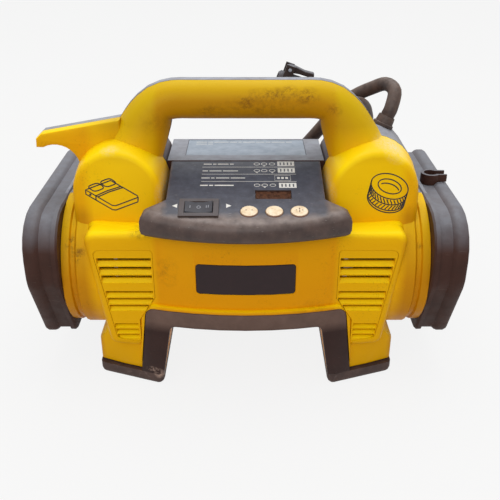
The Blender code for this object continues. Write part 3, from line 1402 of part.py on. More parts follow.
def hose_gland():
    base = gland_base()
    up = gland_direction()
    profile = [(0, GLAND_HEIGHT), (HOSE_RADIUS + 1.0 * MM, GLAND_HEIGHT),
               (HOSE_RADIUS + 1.3 * MM, GLAND_HEIGHT - 1 * MM), (HOSE_RADIUS + 1.8 * MM, 3 * MM),
               (GLAND_FLANGE - 0.5 * MM, 3 * MM), (GLAND_FLANGE, 2.5 * MM),
               (GLAND_FLANGE, GAP), (GLAND_NECK, GAP), (GLAND_NECK, -5 * MM), (0, -5 * MM)]
    turned("hose_gland", profile, base, up, RUBBER, steps=16)


def hose_points():
    """The hose's way: over, down behind the right drum, and up again to the chuck."""
    start = gland_base() + gland_direction() * (GLAND_HEIGHT + GAP)
    end = Vector(CHUCK_START)
    leave = start + gland_direction() * HOSE_STRAIGHT
    arrive = end - chuck_direction() * HOSE_STRAIGHT
    route = [leave, *[Vector(p) * MM for p in HOSE_ROUTE], arrive]
    return [start, *even_points(smooth_path(route, 12), HOSE_RADIUS * 2 * 1.3), end]


def even_points(path, spacing):
    """Points at an even spacing along a path."""
    lengths = [0.0]
    for a, b in zip(path, path[1:]):
        lengths.append(lengths[-1] + (b - a).length)
    count = round(lengths[-1] / spacing)
    points = []
    index = 0
    for i in range(count + 1):
        target = lengths[-1] * i / count
        while index < len(path) - 2 and lengths[index + 1] < target:
            index += 1
        span = lengths[index + 1] - lengths[index]
        share = (target - lengths[index]) / span
        points.append(path[index].lerp(path[index + 1], share))
    return points


def hose():
    path = hose_points()
    curve = bpy.data.curves.new("hose", "CURVE")
    curve.dimensions = "3D"
    curve.bevel_depth = HOSE_RADIUS
    curve.bevel_resolution = 2
    curve.use_fill_caps = True
    spline = curve.splines.new("POLY")
    spline.points.add(len(path) - 1)
    for point, place in zip(spline.points, path):
        point.co = (*place, 1.0)
    curve.materials.append(material(RUBBER))
    obj = bpy.data.objects.new("hose", curve)
    collection(COLLECTION).objects.link(obj)
    obj.parent = bpy.data.objects["inflator"]


def chuck_direction():
    return Vector((-math.cos(CHUCK_TILT), 0, math.sin(CHUCK_TILT)))


def chuck_axes():
    """An empty at the hose's end whose x runs along the chuck to its mouth."""
    axes = bpy.data.objects.new("chuck_axes", None)
    bpy.context.scene.collection.objects.link(axes)
    axes.parent = bpy.data.objects["inflator"]
    axes.location = CHUCK_START
    axes.rotation_euler = (0, -CHUCK_TILT, math.pi)
    return axes


def chuck():
    """A lever chuck on the hose's end, lying along the back of the handle."""
    axes = chuck_axes()
    profile = [(0, FERRULE_LENGTH), (HOSE_RADIUS + 0.3 * MM, FERRULE_LENGTH)]
    for i in range(3):
        at = FERRULE_LENGTH * (0.85 - 0.27 * i)
        profile += [(HOSE_RADIUS + 1.0 * MM, at), (HOSE_RADIUS + 0.4 * MM, at - 1.6 * MM)]
    profile += [(HOSE_RADIUS + 0.8 * MM, 1 * MM), (HOSE_RADIUS + 0.8 * MM, 0), (0, 0)]
    turned("hose_ferrule", profile, (GAP, 0, 0), (1, 0, 0), BRASS, steps=14, parent=axes)
    base = FERRULE_LENGTH + 2 * GAP
    mouth = base + CHUCK_LENGTH
    profile = [(0, CHUCK_LENGTH), (CHUCK_RADIUS - 1.6 * MM, CHUCK_LENGTH),
               (CHUCK_RADIUS, CHUCK_LENGTH - 1.6 * MM), (CHUCK_RADIUS, 6 * MM),
               (CHUCK_RADIUS - 1.2 * MM, 3 * MM), (CHUCK_RADIUS - 1.8 * MM, 0), (0, 0)]
    body = turned("chuck_body", profile, (base, 0, 0), (1, 0, 0), TRIM, steps=18, parent=axes)
    cut(body, rod("chuck_mouth", (mouth - 12 * MM, 0, 0), (mouth + 2 * MM, 0, 0), 4 * MM,
                  steps=16, parent=axes))
    pivot_x = mouth - 7 * MM
    pivot_z = CHUCK_RADIUS + 3.3 * MM
    for y in (-5 * MM, 5 * MM):
        join(body, box("chuck_ear", (pivot_x - 3.5 * MM, y - 1.2 * MM, 3 * MM),
                       (pivot_x + 3.5 * MM, y + 1.2 * MM, pivot_z + 3.2 * MM), parent=axes))
    cut(body, rod("ear_bore", (pivot_x, -9 * MM, pivot_z), (pivot_x, 9 * MM, pivot_z),
                  PIN_RADIUS + GAP, steps=16, parent=axes))
    rod("lever_pin", (pivot_x, -6.6 * MM, pivot_z), (pivot_x, 6.6 * MM, pivot_z), PIN_RADIUS,
        STEEL, steps=16, parent=axes)
    chuck_lever(pivot_x, pivot_z, axes)


def chuck_lever(x, z, axes):
    """A thumb lever lying back along the chuck, its eye on the pin."""
    half = 3.4 * MM
    outline = arc(0, 0, 2.9 * MM, -90, 70, 6)
    outline += [Vector((-4 * MM, 3.2 * MM)), Vector((-12 * MM, 2.2 * MM)),
                Vector((-LEVER_LENGTH + 0.8 * MM, 2.8 * MM)), Vector((-LEVER_LENGTH, 0.6 * MM)),
                Vector((-LEVER_LENGTH + 2 * MM, -1.2 * MM)), Vector((-8 * MM, -1.4 * MM))]
    rings = [along_y(inset(outline, 0.5 * MM), -half), along_y(outline, -half + 0.5 * MM),
             along_y(outline, half - 0.5 * MM), along_y(inset(outline, 0.5 * MM), half)]
    lever = loft("chuck_lever", rings, TRIM, parent=axes)
    lever.location = (x, 0, z)
    cut(lever, rod("lever_bore", (x, -9 * MM, z), (x, 9 * MM, z), PIN_RADIUS + GAP, steps=16,
                   parent=axes))


# ---------------------------------------------------------------- build

def build():
    clear_scene()
    root = bpy.data.objects.new("inflator", None)
    bpy.context.scene.collection.objects.link(root)
    root.location = (0, SEAM_OFFSET, AXIS_HEIGHT)
    front_shell()
    vent_grilles()
    front_trim()
    badge_plate()
    soles()
    rear_shell()
    deck_label()
    battery_socket()
    end_caps()
    hose_clip()
    ports()
    control_panel()
    switch()
    buttons()
    display()
    circuit_board()
    blower()
    compressor()
    hose_gland()
    hose()
    chuck()


build()
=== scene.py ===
"""Finishes the cordless tyre inflator: moulded plastics, printed marks, hose and stage.

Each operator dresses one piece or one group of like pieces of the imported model, which
stays where it is. Lengths are in metres, and the sizes in the panel in the sidebar are
those that a user would change.
"""

import math

import bmesh
import bpy
from bpy.props import FloatProperty, FloatVectorProperty, PointerProperty
from bpy.types import Operator, Panel, PropertyGroup
from mathutils import Matrix, Vector
from mathutils.bvhtree import BVHTree


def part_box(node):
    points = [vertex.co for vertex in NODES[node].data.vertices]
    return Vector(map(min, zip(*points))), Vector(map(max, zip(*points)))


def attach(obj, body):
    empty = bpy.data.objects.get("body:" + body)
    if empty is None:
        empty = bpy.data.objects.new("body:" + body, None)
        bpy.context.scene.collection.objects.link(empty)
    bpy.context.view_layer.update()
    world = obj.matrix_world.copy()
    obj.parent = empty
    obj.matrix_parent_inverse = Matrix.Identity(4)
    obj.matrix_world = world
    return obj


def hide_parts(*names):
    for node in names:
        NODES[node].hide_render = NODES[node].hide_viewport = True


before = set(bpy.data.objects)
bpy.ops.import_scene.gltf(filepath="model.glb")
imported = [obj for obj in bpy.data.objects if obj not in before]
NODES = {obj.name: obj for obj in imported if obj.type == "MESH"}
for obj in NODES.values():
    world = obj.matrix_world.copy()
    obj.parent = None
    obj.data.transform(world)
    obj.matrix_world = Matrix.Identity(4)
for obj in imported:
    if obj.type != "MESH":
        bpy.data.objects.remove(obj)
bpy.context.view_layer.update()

bl_info = {
    "name": "Cordless Tyre Inflator",
    "version": (1, 0, 0),
    "blender": (4, 5, 0),
    "location": "3D View > Sidebar > Inflator",
    "description": "Finishes, printed marks, hose and stage of a cordless tyre inflator",
    "category": "Object",
}

MM = 0.001

# ---- Where the housing's own axes lie in the frame ----
SEAM_Y = -19 * MM
PANEL_SLOPE = math.radians(13.5)
PANEL_EDGE = Vector((0, SEAM_Y, 172 * MM))  # where the panel meets the deck
PANEL_NORMAL = Vector((0, -math.sin(PANEL_SLOPE), math.cos(PANEL_SLOPE)))
PANEL_ALONG = Vector((0, math.cos(PANEL_SLOPE), math.sin(PANEL_SLOPE)))
ROCKER_PIVOT = Vector((-34 * MM, -80.5 * MM, 157.24 * MM))
COLLAR_X = 142.3 * MM  # where the collars at the ends of the front shell begin

# ---- Screws in the rear shell, in x and z ----
SCREW_PLACES = (
    (-0.058, 0.131), (0.058, 0.131), (-0.058, 0.083), (0.058, 0.083),
    (-0.134, 0.083), (0.134, 0.083), (0.134, 0.131), (-0.096, 0.131),
)

# ---- The hose's middle line, from the gland to the chuck ----
HOSE_LINE = (
    (0.1162, 0.0181, 0.1976), (0.1190, 0.0190, 0.2040), (0.1222, 0.0274, 0.2154),
    (0.1168, 0.0401, 0.2183), (0.1064, 0.0490, 0.2123), (0.0955, 0.0562, 0.2050),
    (0.0863, 0.0635, 0.1958), (0.0787, 0.0708, 0.1852), (0.0721, 0.0778, 0.1737),
    (0.0653, 0.0847, 0.1623), (0.0581, 0.0913, 0.1509), (0.0502, 0.0973, 0.1397),
    (0.0405, 0.1008, 0.1291), (0.0295, 0.1017, 0.1189), (0.0193, 0.1020, 0.1079),
    (0.0115, 0.1020, 0.0952), (0.0065, 0.1020, 0.0811), (0.0051, 0.1020, 0.0663),
    (0.0079, 0.1020, 0.0516), (0.0147, 0.1020, 0.0383), (0.0250, 0.1020, 0.0276),
    (0.0380, 0.1020, 0.0202), (0.0525, 0.1020, 0.0166), (0.0674, 0.1020, 0.0168),
    (0.0816, 0.1020, 0.0213), (0.0941, 0.1020, 0.0295), (0.1037, 0.1020, 0.0409),
    (0.1096, 0.1020, 0.0546), (0.1124, 0.1022, 0.0693), (0.1132, 0.1025, 0.0843),
    (0.1135, 0.1025, 0.0992), (0.1136, 0.1025, 0.1142), (0.1134, 0.1013, 0.1291),
    (0.1130, 0.0981, 0.1437), (0.1121, 0.0913, 0.1570), (0.1108, 0.0821, 0.1687),
    (0.1088, 0.0712, 0.1787), (0.1058, 0.0596, 0.1877), (0.1018, 0.0479, 0.1961),
    (0.0960, 0.0357, 0.2025), (0.0879, 0.0238, 0.2065), (0.0777, 0.0136, 0.2103),
    (0.0656, 0.0078, 0.2167), (0.0590, 0.0078, 0.2190),
)


# ---- Where dirt has settled on the housing: centre, half widths and strength ----
DIRT_SPOTS = (
    ((0.020, -0.029, 0.227), (0.024, 0.02, 0.006), 0.85),
    ((0.046, -0.029, 0.226), (0.012, 0.02, 0.007), 0.95),
    ((0.000, -0.030, 0.222), (0.008, 0.02, 0.006), 0.95),
    ((0.033, -0.029, 0.230), (0.007, 0.02, 0.004), 0.80),
    ((-0.029, -0.030, 0.214), (0.013, 0.02, 0.006), 0.70),
    ((0.066, -0.031, 0.216), (0.008, 0.02, 0.006), 0.70),
    ((0.010, -0.030, 0.216), (0.050, 0.02, 0.012), 0.45),
    ((-0.1345, -0.063, 0.121), (0.006, 0.02, 0.007), 1.00),
    ((-0.1300, -0.069, 0.113), (0.006, 0.02, 0.009), 1.00),
    ((-0.1260, -0.070, 0.116), (0.005, 0.02, 0.004), 0.90),
    ((-0.0780, -0.078, 0.136), (0.011, 0.02, 0.006), 0.75),
    ((-0.0600, -0.082, 0.106), (0.011, 0.02, 0.017), 0.40),
    ((0.1330, -0.066, 0.119), (0.004, 0.02, 0.003), 0.90),
    ((0.0500, -0.086, 0.072), (0.022, 0.02, 0.012), 0.35),
    ((-0.0700, -0.022, 0.206), (0.014, 0.02, 0.013), 0.45),
)

# ---- Pale scuffs on the left foot, given like the dirt ----
FOOT_SCUFFS = (
    ((-0.070, -0.081, 0.011), (0.006, 0.03, 0.006), 1.0),
    ((-0.076, -0.081, 0.015), (0.006, 0.03, 0.003), 0.9),
)
BAND_BOTTOM = 52 * MM  # dust lies on the front band, above the strips of the legs

# ---- Fine allowances ----
WELD = 0.002 * MM  # corners closer than this are one
INK_FOOT = 0.02 * MM  # how far a printed mark reaches into its surface
PLANE_AWAY = 0.4  # a mark is cast onto a solid from this far in front of it
SKIRT_GAP = 0.35  # in mm, between a collar's surface and the skirt over it
SKIRT_WALL = 0.5 * MM
SKIRT_TOP = 150 * MM  # a skirt covers the collar below this height

# ---- Where pale dust and painted highlights lie on the housing, given like the dirt ----
DUST_AND_HIGHLIGHT_SPOTS = (
    ((-0.062, -0.036, 0.157), (0.010, 0.034, 0.017), 0.80),
    ((0.062, -0.036, 0.157), (0.010, 0.034, 0.017), 0.80),
    ((0.112, -0.034, 0.188), (0.018, 0.022, 0.015), 0.85),
    ((-0.102, -0.047, 0.191), (0.009, 0.009, 0.006), 0.45),
)


# ---------------------------------------------------------------- colours

def linear(text):
    """An sRGB hex colour as linear values."""
    values = [int(text[i:i + 2], 16) / 255 for i in (1, 3, 5)]
    return tuple(v / 12.92 if v <= 0.04045 else ((v + 0.055) / 1.055) ** 2.4 for v in values)


def colour_property(name, text, description):
    return FloatVectorProperty(name=name, description=description, subtype="COLOR", size=3,
                               min=0.0, max=1.0, default=linear(text))


class InflatorColours(PropertyGroup):
    """Colours of the mouldings and of the marks on them."""
    # housing is the yellow painted as lit, and housing_deep the same yellow painted as shaded;
    # housing_abs lays them by how the light falls
    housing: colour_property("Housing", "#FFD600",
                             "Front shell where the sun has bleached it")
    housing_deep: colour_property("Housing, deep", "#E89B00",
                                  "Front shell where it is shaded")
    housing_dark: colour_property("Charcoal", "#402821", "Rear shell, caps and panel")
    # this grey is a painted reflection of the sky on dark faces that look up
    sky_sheen: colour_property("Dust", "#82858C", "Grey bloom on dark faces that look up")
    dirt: colour_property("Dirt", "#6B3F10", "Hand and workshop dirt on the housing")
    # this pale colour is dust in places, and a painted highlight on the tower tops and inner
    # slopes
    dust: colour_property("Pale dust", "#D8D0B4", "Dry dust on the housing")
    film: colour_property("Panel film", "#2F323F", "Printed film on the control panel")
    print_white: colour_property("White print", "#D9D6CF", "Marks on dark pieces")
    print_dark: colour_property("Dark print", "#20150E", "Pictograms on the towers")
    button: colour_property("Buttons", "#DCC29B", "Silicone button caps")


class InflatorSizes(PropertyGroup):
    """Sizes of the surface detail."""
    grain: FloatProperty(
        name="Moulded grain", description="Width of one bump of the spark-eroded texture",
        default=0.9 * MM, min=0.2 * MM, max=4 * MM, unit="LENGTH", precision=4)
    ink: FloatProperty(
        name="Ink thickness", description="Height of a printed mark above its surface",
        default=0.06 * MM, min=0.02 * MM, max=0.3 * MM, unit="LENGTH", precision=5)
    line: FloatProperty(
        name="Pictogram line", description="Width of a line of the tower pictograms",
        default=0.9 * MM, min=0.3 * MM, max=2 * MM, unit="LENGTH", precision=4)
    hose_diameter: FloatProperty(
        name="Hose diameter", description="Outside diameter of the air hose",
        default=11.4 * MM, min=8 * MM, max=14 * MM, unit="LENGTH", precision=4)
    smooth_angle: FloatProperty(
        name="Smooth angle", description="Edges flatter than this shade as one curve",
        default=math.radians(32), min=0.0, max=math.pi, subtype="ANGLE")


class InflatorStage(PropertyGroup):
    """Camera and light."""
    lens: FloatProperty(
        name="Lens", description="Focal length on a 36 mm wide sensor", default=51.2,
        min=20.0, max=200.0)
    tilt: FloatProperty(
        name="Camera tilt", description="Angle of the camera above the horizon",
        default=math.radians(26.9), min=0.0, max=math.pi / 2, subtype="ANGLE")
    sky: FloatProperty(
        name="Sky", description="Strength of the light from all round", default=0.92,
        min=0.0, max=3.0)
    key: FloatProperty(
        name="Key light", description="Power of the large lamp overhead, in watts",
        default=13.0, min=0.0, max=200.0)
    fill: FloatProperty(
        name="Fill light", description="Power of the lamp in front, in watts",
        default=6.0, min=0.0, max=200.0)


def settings():
    scene = bpy.context.scene
    return scene.inflator_colours, scene.inflator_sizes, scene.inflator_stage


# ---------------------------------------------------------------- materials

def add_node(tree, kind, inputs=None, **options):
    """Adds a node, sets its options, and fills its sockets with values or links."""
    node = tree.nodes.new(kind)
    for name, value in options.items():
        setattr(node, name, value)
    for name, value in (inputs or {}).items():
        if isinstance(value, bpy.types.NodeSocket):
            tree.links.new(value, node.inputs[name])
        else:
            node.inputs[name].default_value = value
    return node


def start_material(name, **values):
    """A Principled material and the coordinates that its patterns follow."""
    made = bpy.data.materials.new(name)
    made.use_nodes = True
    tree = made.node_tree
    tree.nodes.clear()
    shader = add_node(tree, "ShaderNodeBsdfPrincipled")
    for socket, value in values.items():
        shader.inputs[socket.replace("_", " ")].default_value = value
    add_node(tree, "ShaderNodeOutputMaterial", {"Surface": shader.outputs[0]})
    where = add_node(tree, "ShaderNodeTexCoord").outputs["Object"]
    return made, tree, shader, where


def finish(material, base, bumps=None, rough=None):
    """Links a material's colour, its bumps (size, depth, strength) and its roughness range."""
    made, tree, shader, where = material
    tree.links.new(base, shader.inputs["Base Color"])
    if rough:
        source, low, high = rough
        spread = add_node(tree, "ShaderNodeMapRange",
                          {"Value": source, "To Min": low, "To Max": high})
        tree.links.new(spread.outputs[0], shader.inputs["Roughness"])
    if bumps:
        size, depth, strength = bumps
        noise = add_node(tree, "ShaderNodeTexNoise",
                         {"Vector": where, "Scale": per_metre(size), "Detail": 3.0,
                          "Roughness": 0.7})
        bump = add_node(tree, "ShaderNodeBump",
                        {"Height": noise.outputs[0], "Distance": depth, "Strength": strength})
        tree.links.new(bump.outputs[0], shader.inputs["Normal"])
    return made


def per_metre(size):
    """Pattern scale that makes one bump or cell this long."""
    return 1.0 / size


def rgba(colour, share=1.0):
    """A hex colour or linear values, made darker or lighter by a share, with an alpha of 1."""
    values = linear(colour) if isinstance(colour, str) else colour
    return (*[min(1.0, value * share) for value in values], 1.0)


def mask(tree, *terms):
    """Multiplies terms: a number, a socket, or (socket, low, high), which rises from 0 to 1."""
    result = None
    for term in terms:
        if isinstance(term, tuple):
            source, low, high = term
            term = add_node(tree, "ShaderNodeMapRange", {"Value": source, "From Min": low,
                                                         "From Max": high}).outputs[0]
        result = term if result is None else add_node(
            tree, "ShaderNodeMath", {0: result, 1: term}, operation="MULTIPLY").outputs[0]
    return result


def layer(tree, base, colour, *terms):
    """Lays a colour over a base as far as the mask of the terms says."""
    return add_node(tree, "ShaderNodeMix", {0: mask(tree, *terms), 6: base, 7: colour},
                    data_type="RGBA").outputs[2]


def patches(tree, where, size, low, high, detail=4.0, roughness=0.6):
    """Soft-edged patches about one size across, 1 inside and 0 outside."""
    noise = add_node(tree, "ShaderNodeTexNoise",
                     {"Vector": where, "Scale": per_metre(size), "Detail": detail,
                      "Roughness": roughness})
    return mask(tree, (noise.outputs[0], low, high))


def facing_up(tree, low, high):
    """1 where the surface looks up, 0 where it is upright or looks down."""
    normal = add_node(tree, "ShaderNodeNewGeometry").outputs["Normal"]
    split = add_node(tree, "ShaderNodeSeparateXYZ", {0: normal})
    return mask(tree, (split.outputs["Z"], low, high))


def scratches(tree, where, length, width, turn, low, high):
    """Thin pale scratches, each about one length long."""
    turned = add_node(tree, "ShaderNodeMapping",
                      {"Vector": where, "Rotation": turn,
                       "Scale": (per_metre(length), per_metre(width), per_metre(width))})
    noise = add_node(tree, "ShaderNodeTexNoise",
                     {"Vector": turned.outputs[0], "Scale": 1.0, "Detail": 1.0})
    return mask(tree, (noise.outputs[0], low, high))


def spotted(tree, where, base, texture, places, colour):
    """Lays a colour where a texture falls in any place: centre, half widths, strength."""
    for centre, size, amount in places:
        moved = add_node(tree, "ShaderNodeVectorMath", {0: where, 1: centre},
                         operation="SUBTRACT").outputs[0]
        share = add_node(tree, "ShaderNodeVectorMath", {0: moved, 1: size},
                         operation="DIVIDE").outputs[0]
        away = add_node(tree, "ShaderNodeVectorMath", {0: share},
                        operation="LENGTH").outputs["Value"]
        base = layer(tree, base, rgba(colour), (away, 1.0, 0.1), texture, amount)
    return base


def weighted_sum(tree, *terms):
    """Adds sockets, each times its weight."""
    result = 0.0
    for socket, weight in terms:
        result = add_node(tree, "ShaderNodeMath", {0: socket, 1: weight, 2: result},
                          operation="MULTIPLY_ADD").outputs[0]
    return result


def side_and_split(tree, where):
    """Distance from the middle plane, and the three coordinates."""
    split = add_node(tree, "ShaderNodeSeparateXYZ", {0: where})
    side = add_node(tree, "ShaderNodeMath", {0: split.outputs["X"]}, operation="ABSOLUTE")
    return side.outputs[0], split.outputs


def housing_abs(name, extra_painted_light=0.0, dirt_and_painted_light=True):
    """Moulded ABS, painted lighter where it stands out, high up and looking up, as lit, and
    deeper orange as shade elsewhere; soiled where hands hold it.
    """
    colours, sizes, _ = settings()
    material = start_material(name, Roughness=0.45, IOR=1.53, Specular_IOR_Level=0.1)
    _, tree, _, where = material
    side, split = side_and_split(tree, where)
    height = split["Z"]
    # painted light and shade: the yellow is painted lighter, as lit, on the vent blocks, higher
    # up and on faces that look up, and keeps the deeper orange of painted shade on the fascia
    # under the panel's lip
    blocks = mask(tree, (side, 66 * MM, 71 * MM), (side, 124 * MM, 116 * MM))
    painted_light = weighted_sum(tree, (blocks, 0.34 + extra_painted_light),
                         (mask(tree, (height, 128 * MM, 156 * MM)), 0.22),
                         (facing_up(tree, 0.05, 0.9), 0.75))
    base = layer(tree, rgba(colours.housing_deep), rgba(colours.housing), painted_light)
    base = layer(tree, base, rgba(colours.housing_deep),
                 patches(tree, where, 45 * MM, 0.30, 0.70, detail=2.0), 0.12)
    # specks of grime that sit in the texture, drawn at 1.6 mm so that they show
    base = layer(tree, base, rgba(colours.dirt), patches(tree, where, 30 * MM, 0.50, 0.66),
                 patches(tree, where, 1.6 * MM, 0.55, 0.70), 0.3)
    if dirt_and_painted_light:
        # darker over the handle, in the dirt colour; the barrels' lower ends, which look down,
        # get painted shade in the same colour
        over_handle = mask(tree, (height, 180 * MM, 204 * MM), (side, 135 * MM, 100 * MM))
        barrel_shade = mask(tree, (side, 116 * MM, 124 * MM), (height, 150 * MM, 140 * MM))
        film = weighted_sum(tree, (over_handle, 0.42), (barrel_shade, 0.30))
        base = layer(tree, base, rgba(colours.dirt), film)
        blot = patches(tree, where, 5 * MM, 0.44, 0.60, 8.0, 0.8)
        base = spotted(tree, where, base, blot, DIRT_SPOTS, colours.dirt)
        # pale dust in places, and painted highlights on the tower tops and inner slopes
        dust_and_highlight = patches(tree, where, 1.8 * MM, 0.34, 0.62, 3.0, 0.7)
        base = spotted(tree, where, base, dust_and_highlight, DUST_AND_HIGHLIGHT_SPOTS, colours.dust)
    return finish(material, base, (sizes.grain, 0.05 * MM, 0.55),
                  (patches(tree, where, 25 * MM, 0.35, 0.65), 0.38, 0.52))


def foot_scuffs(tree, where, base):
    """Ragged pale scuffs on the left foot."""
    ragged = patches(tree, where, 6 * MM, 0.42, 0.56, 8.0, 0.7)
    return spotted(tree, where, base, ragged, FOOT_SCUFFS, "#D8B7A6")


def charcoal_nylon(name, colour, sheen=0.75, rough=(0.42, 0.62), scuffed=False,
                   dusty_above=None, dust=None):
    """Glass-filled nylon: brown-black, painted grey-blue where it looks up as a sheen of the sky,
    with worn pale scratches.
    """
    colours, sizes, _ = settings()
    material = start_material(name, Roughness=0.5, IOR=1.53, Specular_IOR_Level=0.15)
    _, tree, _, where = material
    base = layer(tree, rgba(colour, 0.78), rgba(colour, 1.22),
                 patches(tree, where, 28 * MM, 0.32, 0.68, detail=5.0))
    cloud = patches(tree, where, 9 * MM, 0.30, 0.72, detail=6.0)
    thin = add_node(tree, "ShaderNodeMapRange", {"Value": cloud, "To Min": 0.6, "To Max": 1.0})
    # painted reflection: faces that look up are painted grey-blue, as the sky shows in them; the
    # dust argument, where given, is the colour of this painted sheen
    base = layer(tree, base, rgba(dust or colours.sky_sheen),
                 facing_up(tree, 0.25, 0.98), thin.outputs[0], sheen)
    if dusty_above is not None:
        height = side_and_split(tree, where)[1]["Z"]
        even = add_node(tree, "ShaderNodeMapRange",
                        {"Value": cloud, "To Min": 0.5, "To Max": 0.75})
        base = layer(tree, base, rgba("#7E655A"),
                     (height, dusty_above, dusty_above + 9 * MM), even.outputs[0])
    line = scratches(tree, where, 22 * MM, 0.5 * MM, (0.3, 0.1, 0.5), 0.75, 0.80)
    cross = scratches(tree, where, 12 * MM, 0.45 * MM, (0.9, 0.4, 1.4), 0.77, 0.82)
    wear = add_node(tree, "ShaderNodeMath", {0: line, 1: cross}, operation="MAXIMUM")
    base = layer(tree, base, rgba("#A79C92"), wear.outputs[0], 0.22)
    if scuffed:
        base = foot_scuffs(tree, where, base)
    return finish(material, base, (sizes.grain, 0.06 * MM, 0.55), (cloud, *rough))


def panel_nylon():
    """The panel: charcoal at its lip, with a blue-black film worn through at the edges."""
    colours, sizes, _ = settings()
    material = start_material("panel_film_on_nylon", Roughness=0.42, IOR=1.5)
    _, tree, _, where = material
    brown = layer(tree, rgba("#33211C"), rgba("#4E3A33"),
                  patches(tree, where, 12 * MM, 0.35, 0.65, detail=6.0))
    # painted sheen: the lip is painted paler where it looks up, as the sky shows in it
    brown = layer(tree, brown, rgba("#8C7C74"), facing_up(tree, 0.3, 0.9),
                  patches(tree, where, 9 * MM, 0.2, 0.7), 0.7)
    film = layer(tree, rgba(colours.film), rgba([c * 1.5 + 0.012 for c in colours.film]),
                 patches(tree, where, 7 * MM, 0.40, 0.70, detail=7.0))
    side, split = side_and_split(tree, where)
    ragged = add_node(tree, "ShaderNodeTexNoise",
                      {"Vector": where, "Scale": per_metre(11 * MM), "Detail": 5.0})
    shift = add_node(tree, "ShaderNodeMapRange",
                     {"Value": ragged.outputs[0], "To Min": -4 * MM, "To Max": 4 * MM})
    across, along = [add_node(tree, "ShaderNodeMath", {0: way, 1: shift.outputs[0]}).outputs[0]
                     for way in (side, split["Y"])]
    base = layer(tree, brown, film, (across, 61 * MM, 57 * MM), (along, -92 * MM, -85 * MM),
                 facing_up(tree, 0.80, 0.93))
    base = layer(tree, base, rgba("#A8A29C"),
                 scratches(tree, where, 5 * MM, 0.7 * MM, (0.0, 0.0, 0.6), 0.72, 0.77), 0.30)
    return finish(material, base, (sizes.grain, 0.04 * MM, 0.45))


def hose_rubber():
    """Extruded rubber: brown-black and matt, painted paler in patches on its upper side, as lit.
    """
    material = start_material("extruded_rubber", Roughness=0.62, IOR=1.52)
    _, tree, _, where = material
    base = layer(tree, rgba("#33231E"), rgba("#61493C"),
                 patches(tree, where, 14 * MM, 0.35, 0.68, detail=6.0))
    # painted light: pale patches only on faces that look up
    base = layer(tree, base, rgba("#796B62"), facing_up(tree, 0.1, 0.9),
                 patches(tree, where, 4 * MM, 0.35, 0.7), 0.5)
    return finish(material, base, (1.2 * MM, 0.05 * MM, 0.5))


def sole_rubber():
    """Moulded rubber soles, scuffed pale where they slide on a floor."""
    material = start_material("moulded_rubber", Roughness=0.7, IOR=1.52)
    _, tree, _, where = material
    base = layer(tree, rgba("#3D2A25"), rgba("#553F38"),
                 patches(tree, where, 15 * MM, 0.35, 0.65))
    base = layer(tree, base, rgba("#8C7A74"),
                 patches(tree, where, 5 * MM, 0.58, 0.70, detail=8.0), 0.3)
    return finish(material, foot_scuffs(tree, where, base), (1.0 * MM, 0.08 * MM, 0.6))


def plain_plastic(name, colour, rough=0.45, mottle=0.12):
    """Small injection mouldings with a satin face."""
    material = start_material(name, Roughness=rough, IOR=1.5, Specular_IOR_Level=0.3)
    _, tree, _, where = material
    base = layer(tree, rgba(colour, 1 - mottle), rgba(colour, 1 + mottle),
                 patches(tree, where, 6 * MM, 0.3, 0.7))
    return finish(material, base, (0.7 * MM, 0.03 * MM, 0.35))


def silicone_cap():
    """Cream silicone buttons, yellowed and soiled in their middle, with painted brown shade round
    their rims.
    """
    colours, _, _ = settings()
    material = start_material("cream_silicone", Roughness=0.48, IOR=1.43)
    _, tree, _, where = material
    base = layer(tree, rgba(colours.button), rgba("#EFDCC0"),
                 patches(tree, where, 5 * MM, 0.35, 0.65, detail=5.0))
    base = layer(tree, base, rgba("#B98F52"), patches(tree, where, 3 * MM, 0.55, 0.7), 0.5)
    # painted shade: faces that don't look up, round the rims, are painted brown
    base = layer(tree, base, rgba("#7A4A32"), (facing_up(tree, 0.3, 1.0), 0.75, 0.15))
    return finish(material, base, (0.8 * MM, 0.02 * MM, 0.4))


def smoked_acrylic():
    """The display's window: dark brown, glossy and dusty in its recess."""
    material = start_material("smoked_acrylic", Roughness=0.22, IOR=1.49)
    _, tree, _, where = material
    return finish(material, layer(tree, rgba("#3A2219"), rgba("#5D3B2A"),
                                  patches(tree, where, 3 * MM, 0.40, 0.68, detail=6.0)))


def sheet_label():
    """A satin polyester label, grey-blue, its colour partly a painted reflection of the sky."""
    material = start_material("satin_polyester", Roughness=0.34, IOR=1.5)
    _, tree, _, where = material
    base = layer(tree, rgba("#7C8896"), rgba("#99A3AF"),
                 patches(tree, where, 10 * MM, 0.35, 0.7, detail=6.0))
    return finish(material, base, (1.5 * MM, 0.02 * MM, 0.3))


def metal(name, colour, rough, streak):
    """Bare metal: cast, turned or drawn, with streaks about that long."""
    material = start_material(name, Metallic=1.0, Roughness=rough)
    _, tree, _, where = material
    shade = patches(tree, where, streak, 0.3, 0.7)
    return finish(material, layer(tree, rgba(colour, 0.8), rgba(colour), shade),
                  (0.8 * MM, 0.03 * MM, 0.3), (shade, rough * 0.8, rough * 1.25))


def ink(name, colour, worn=0.35):
    """Pad-printed ink, worn thin in places."""
    material = start_material(name, Roughness=0.5, IOR=1.5)
    _, tree, _, where = material
    return finish(material, layer(tree, rgba(colour), rgba(colour, 0.55),
                                  patches(tree, where, 1.5 * MM, 0.45, 0.65), worn))


# ---------------------------------------------------------------- shading of the solids

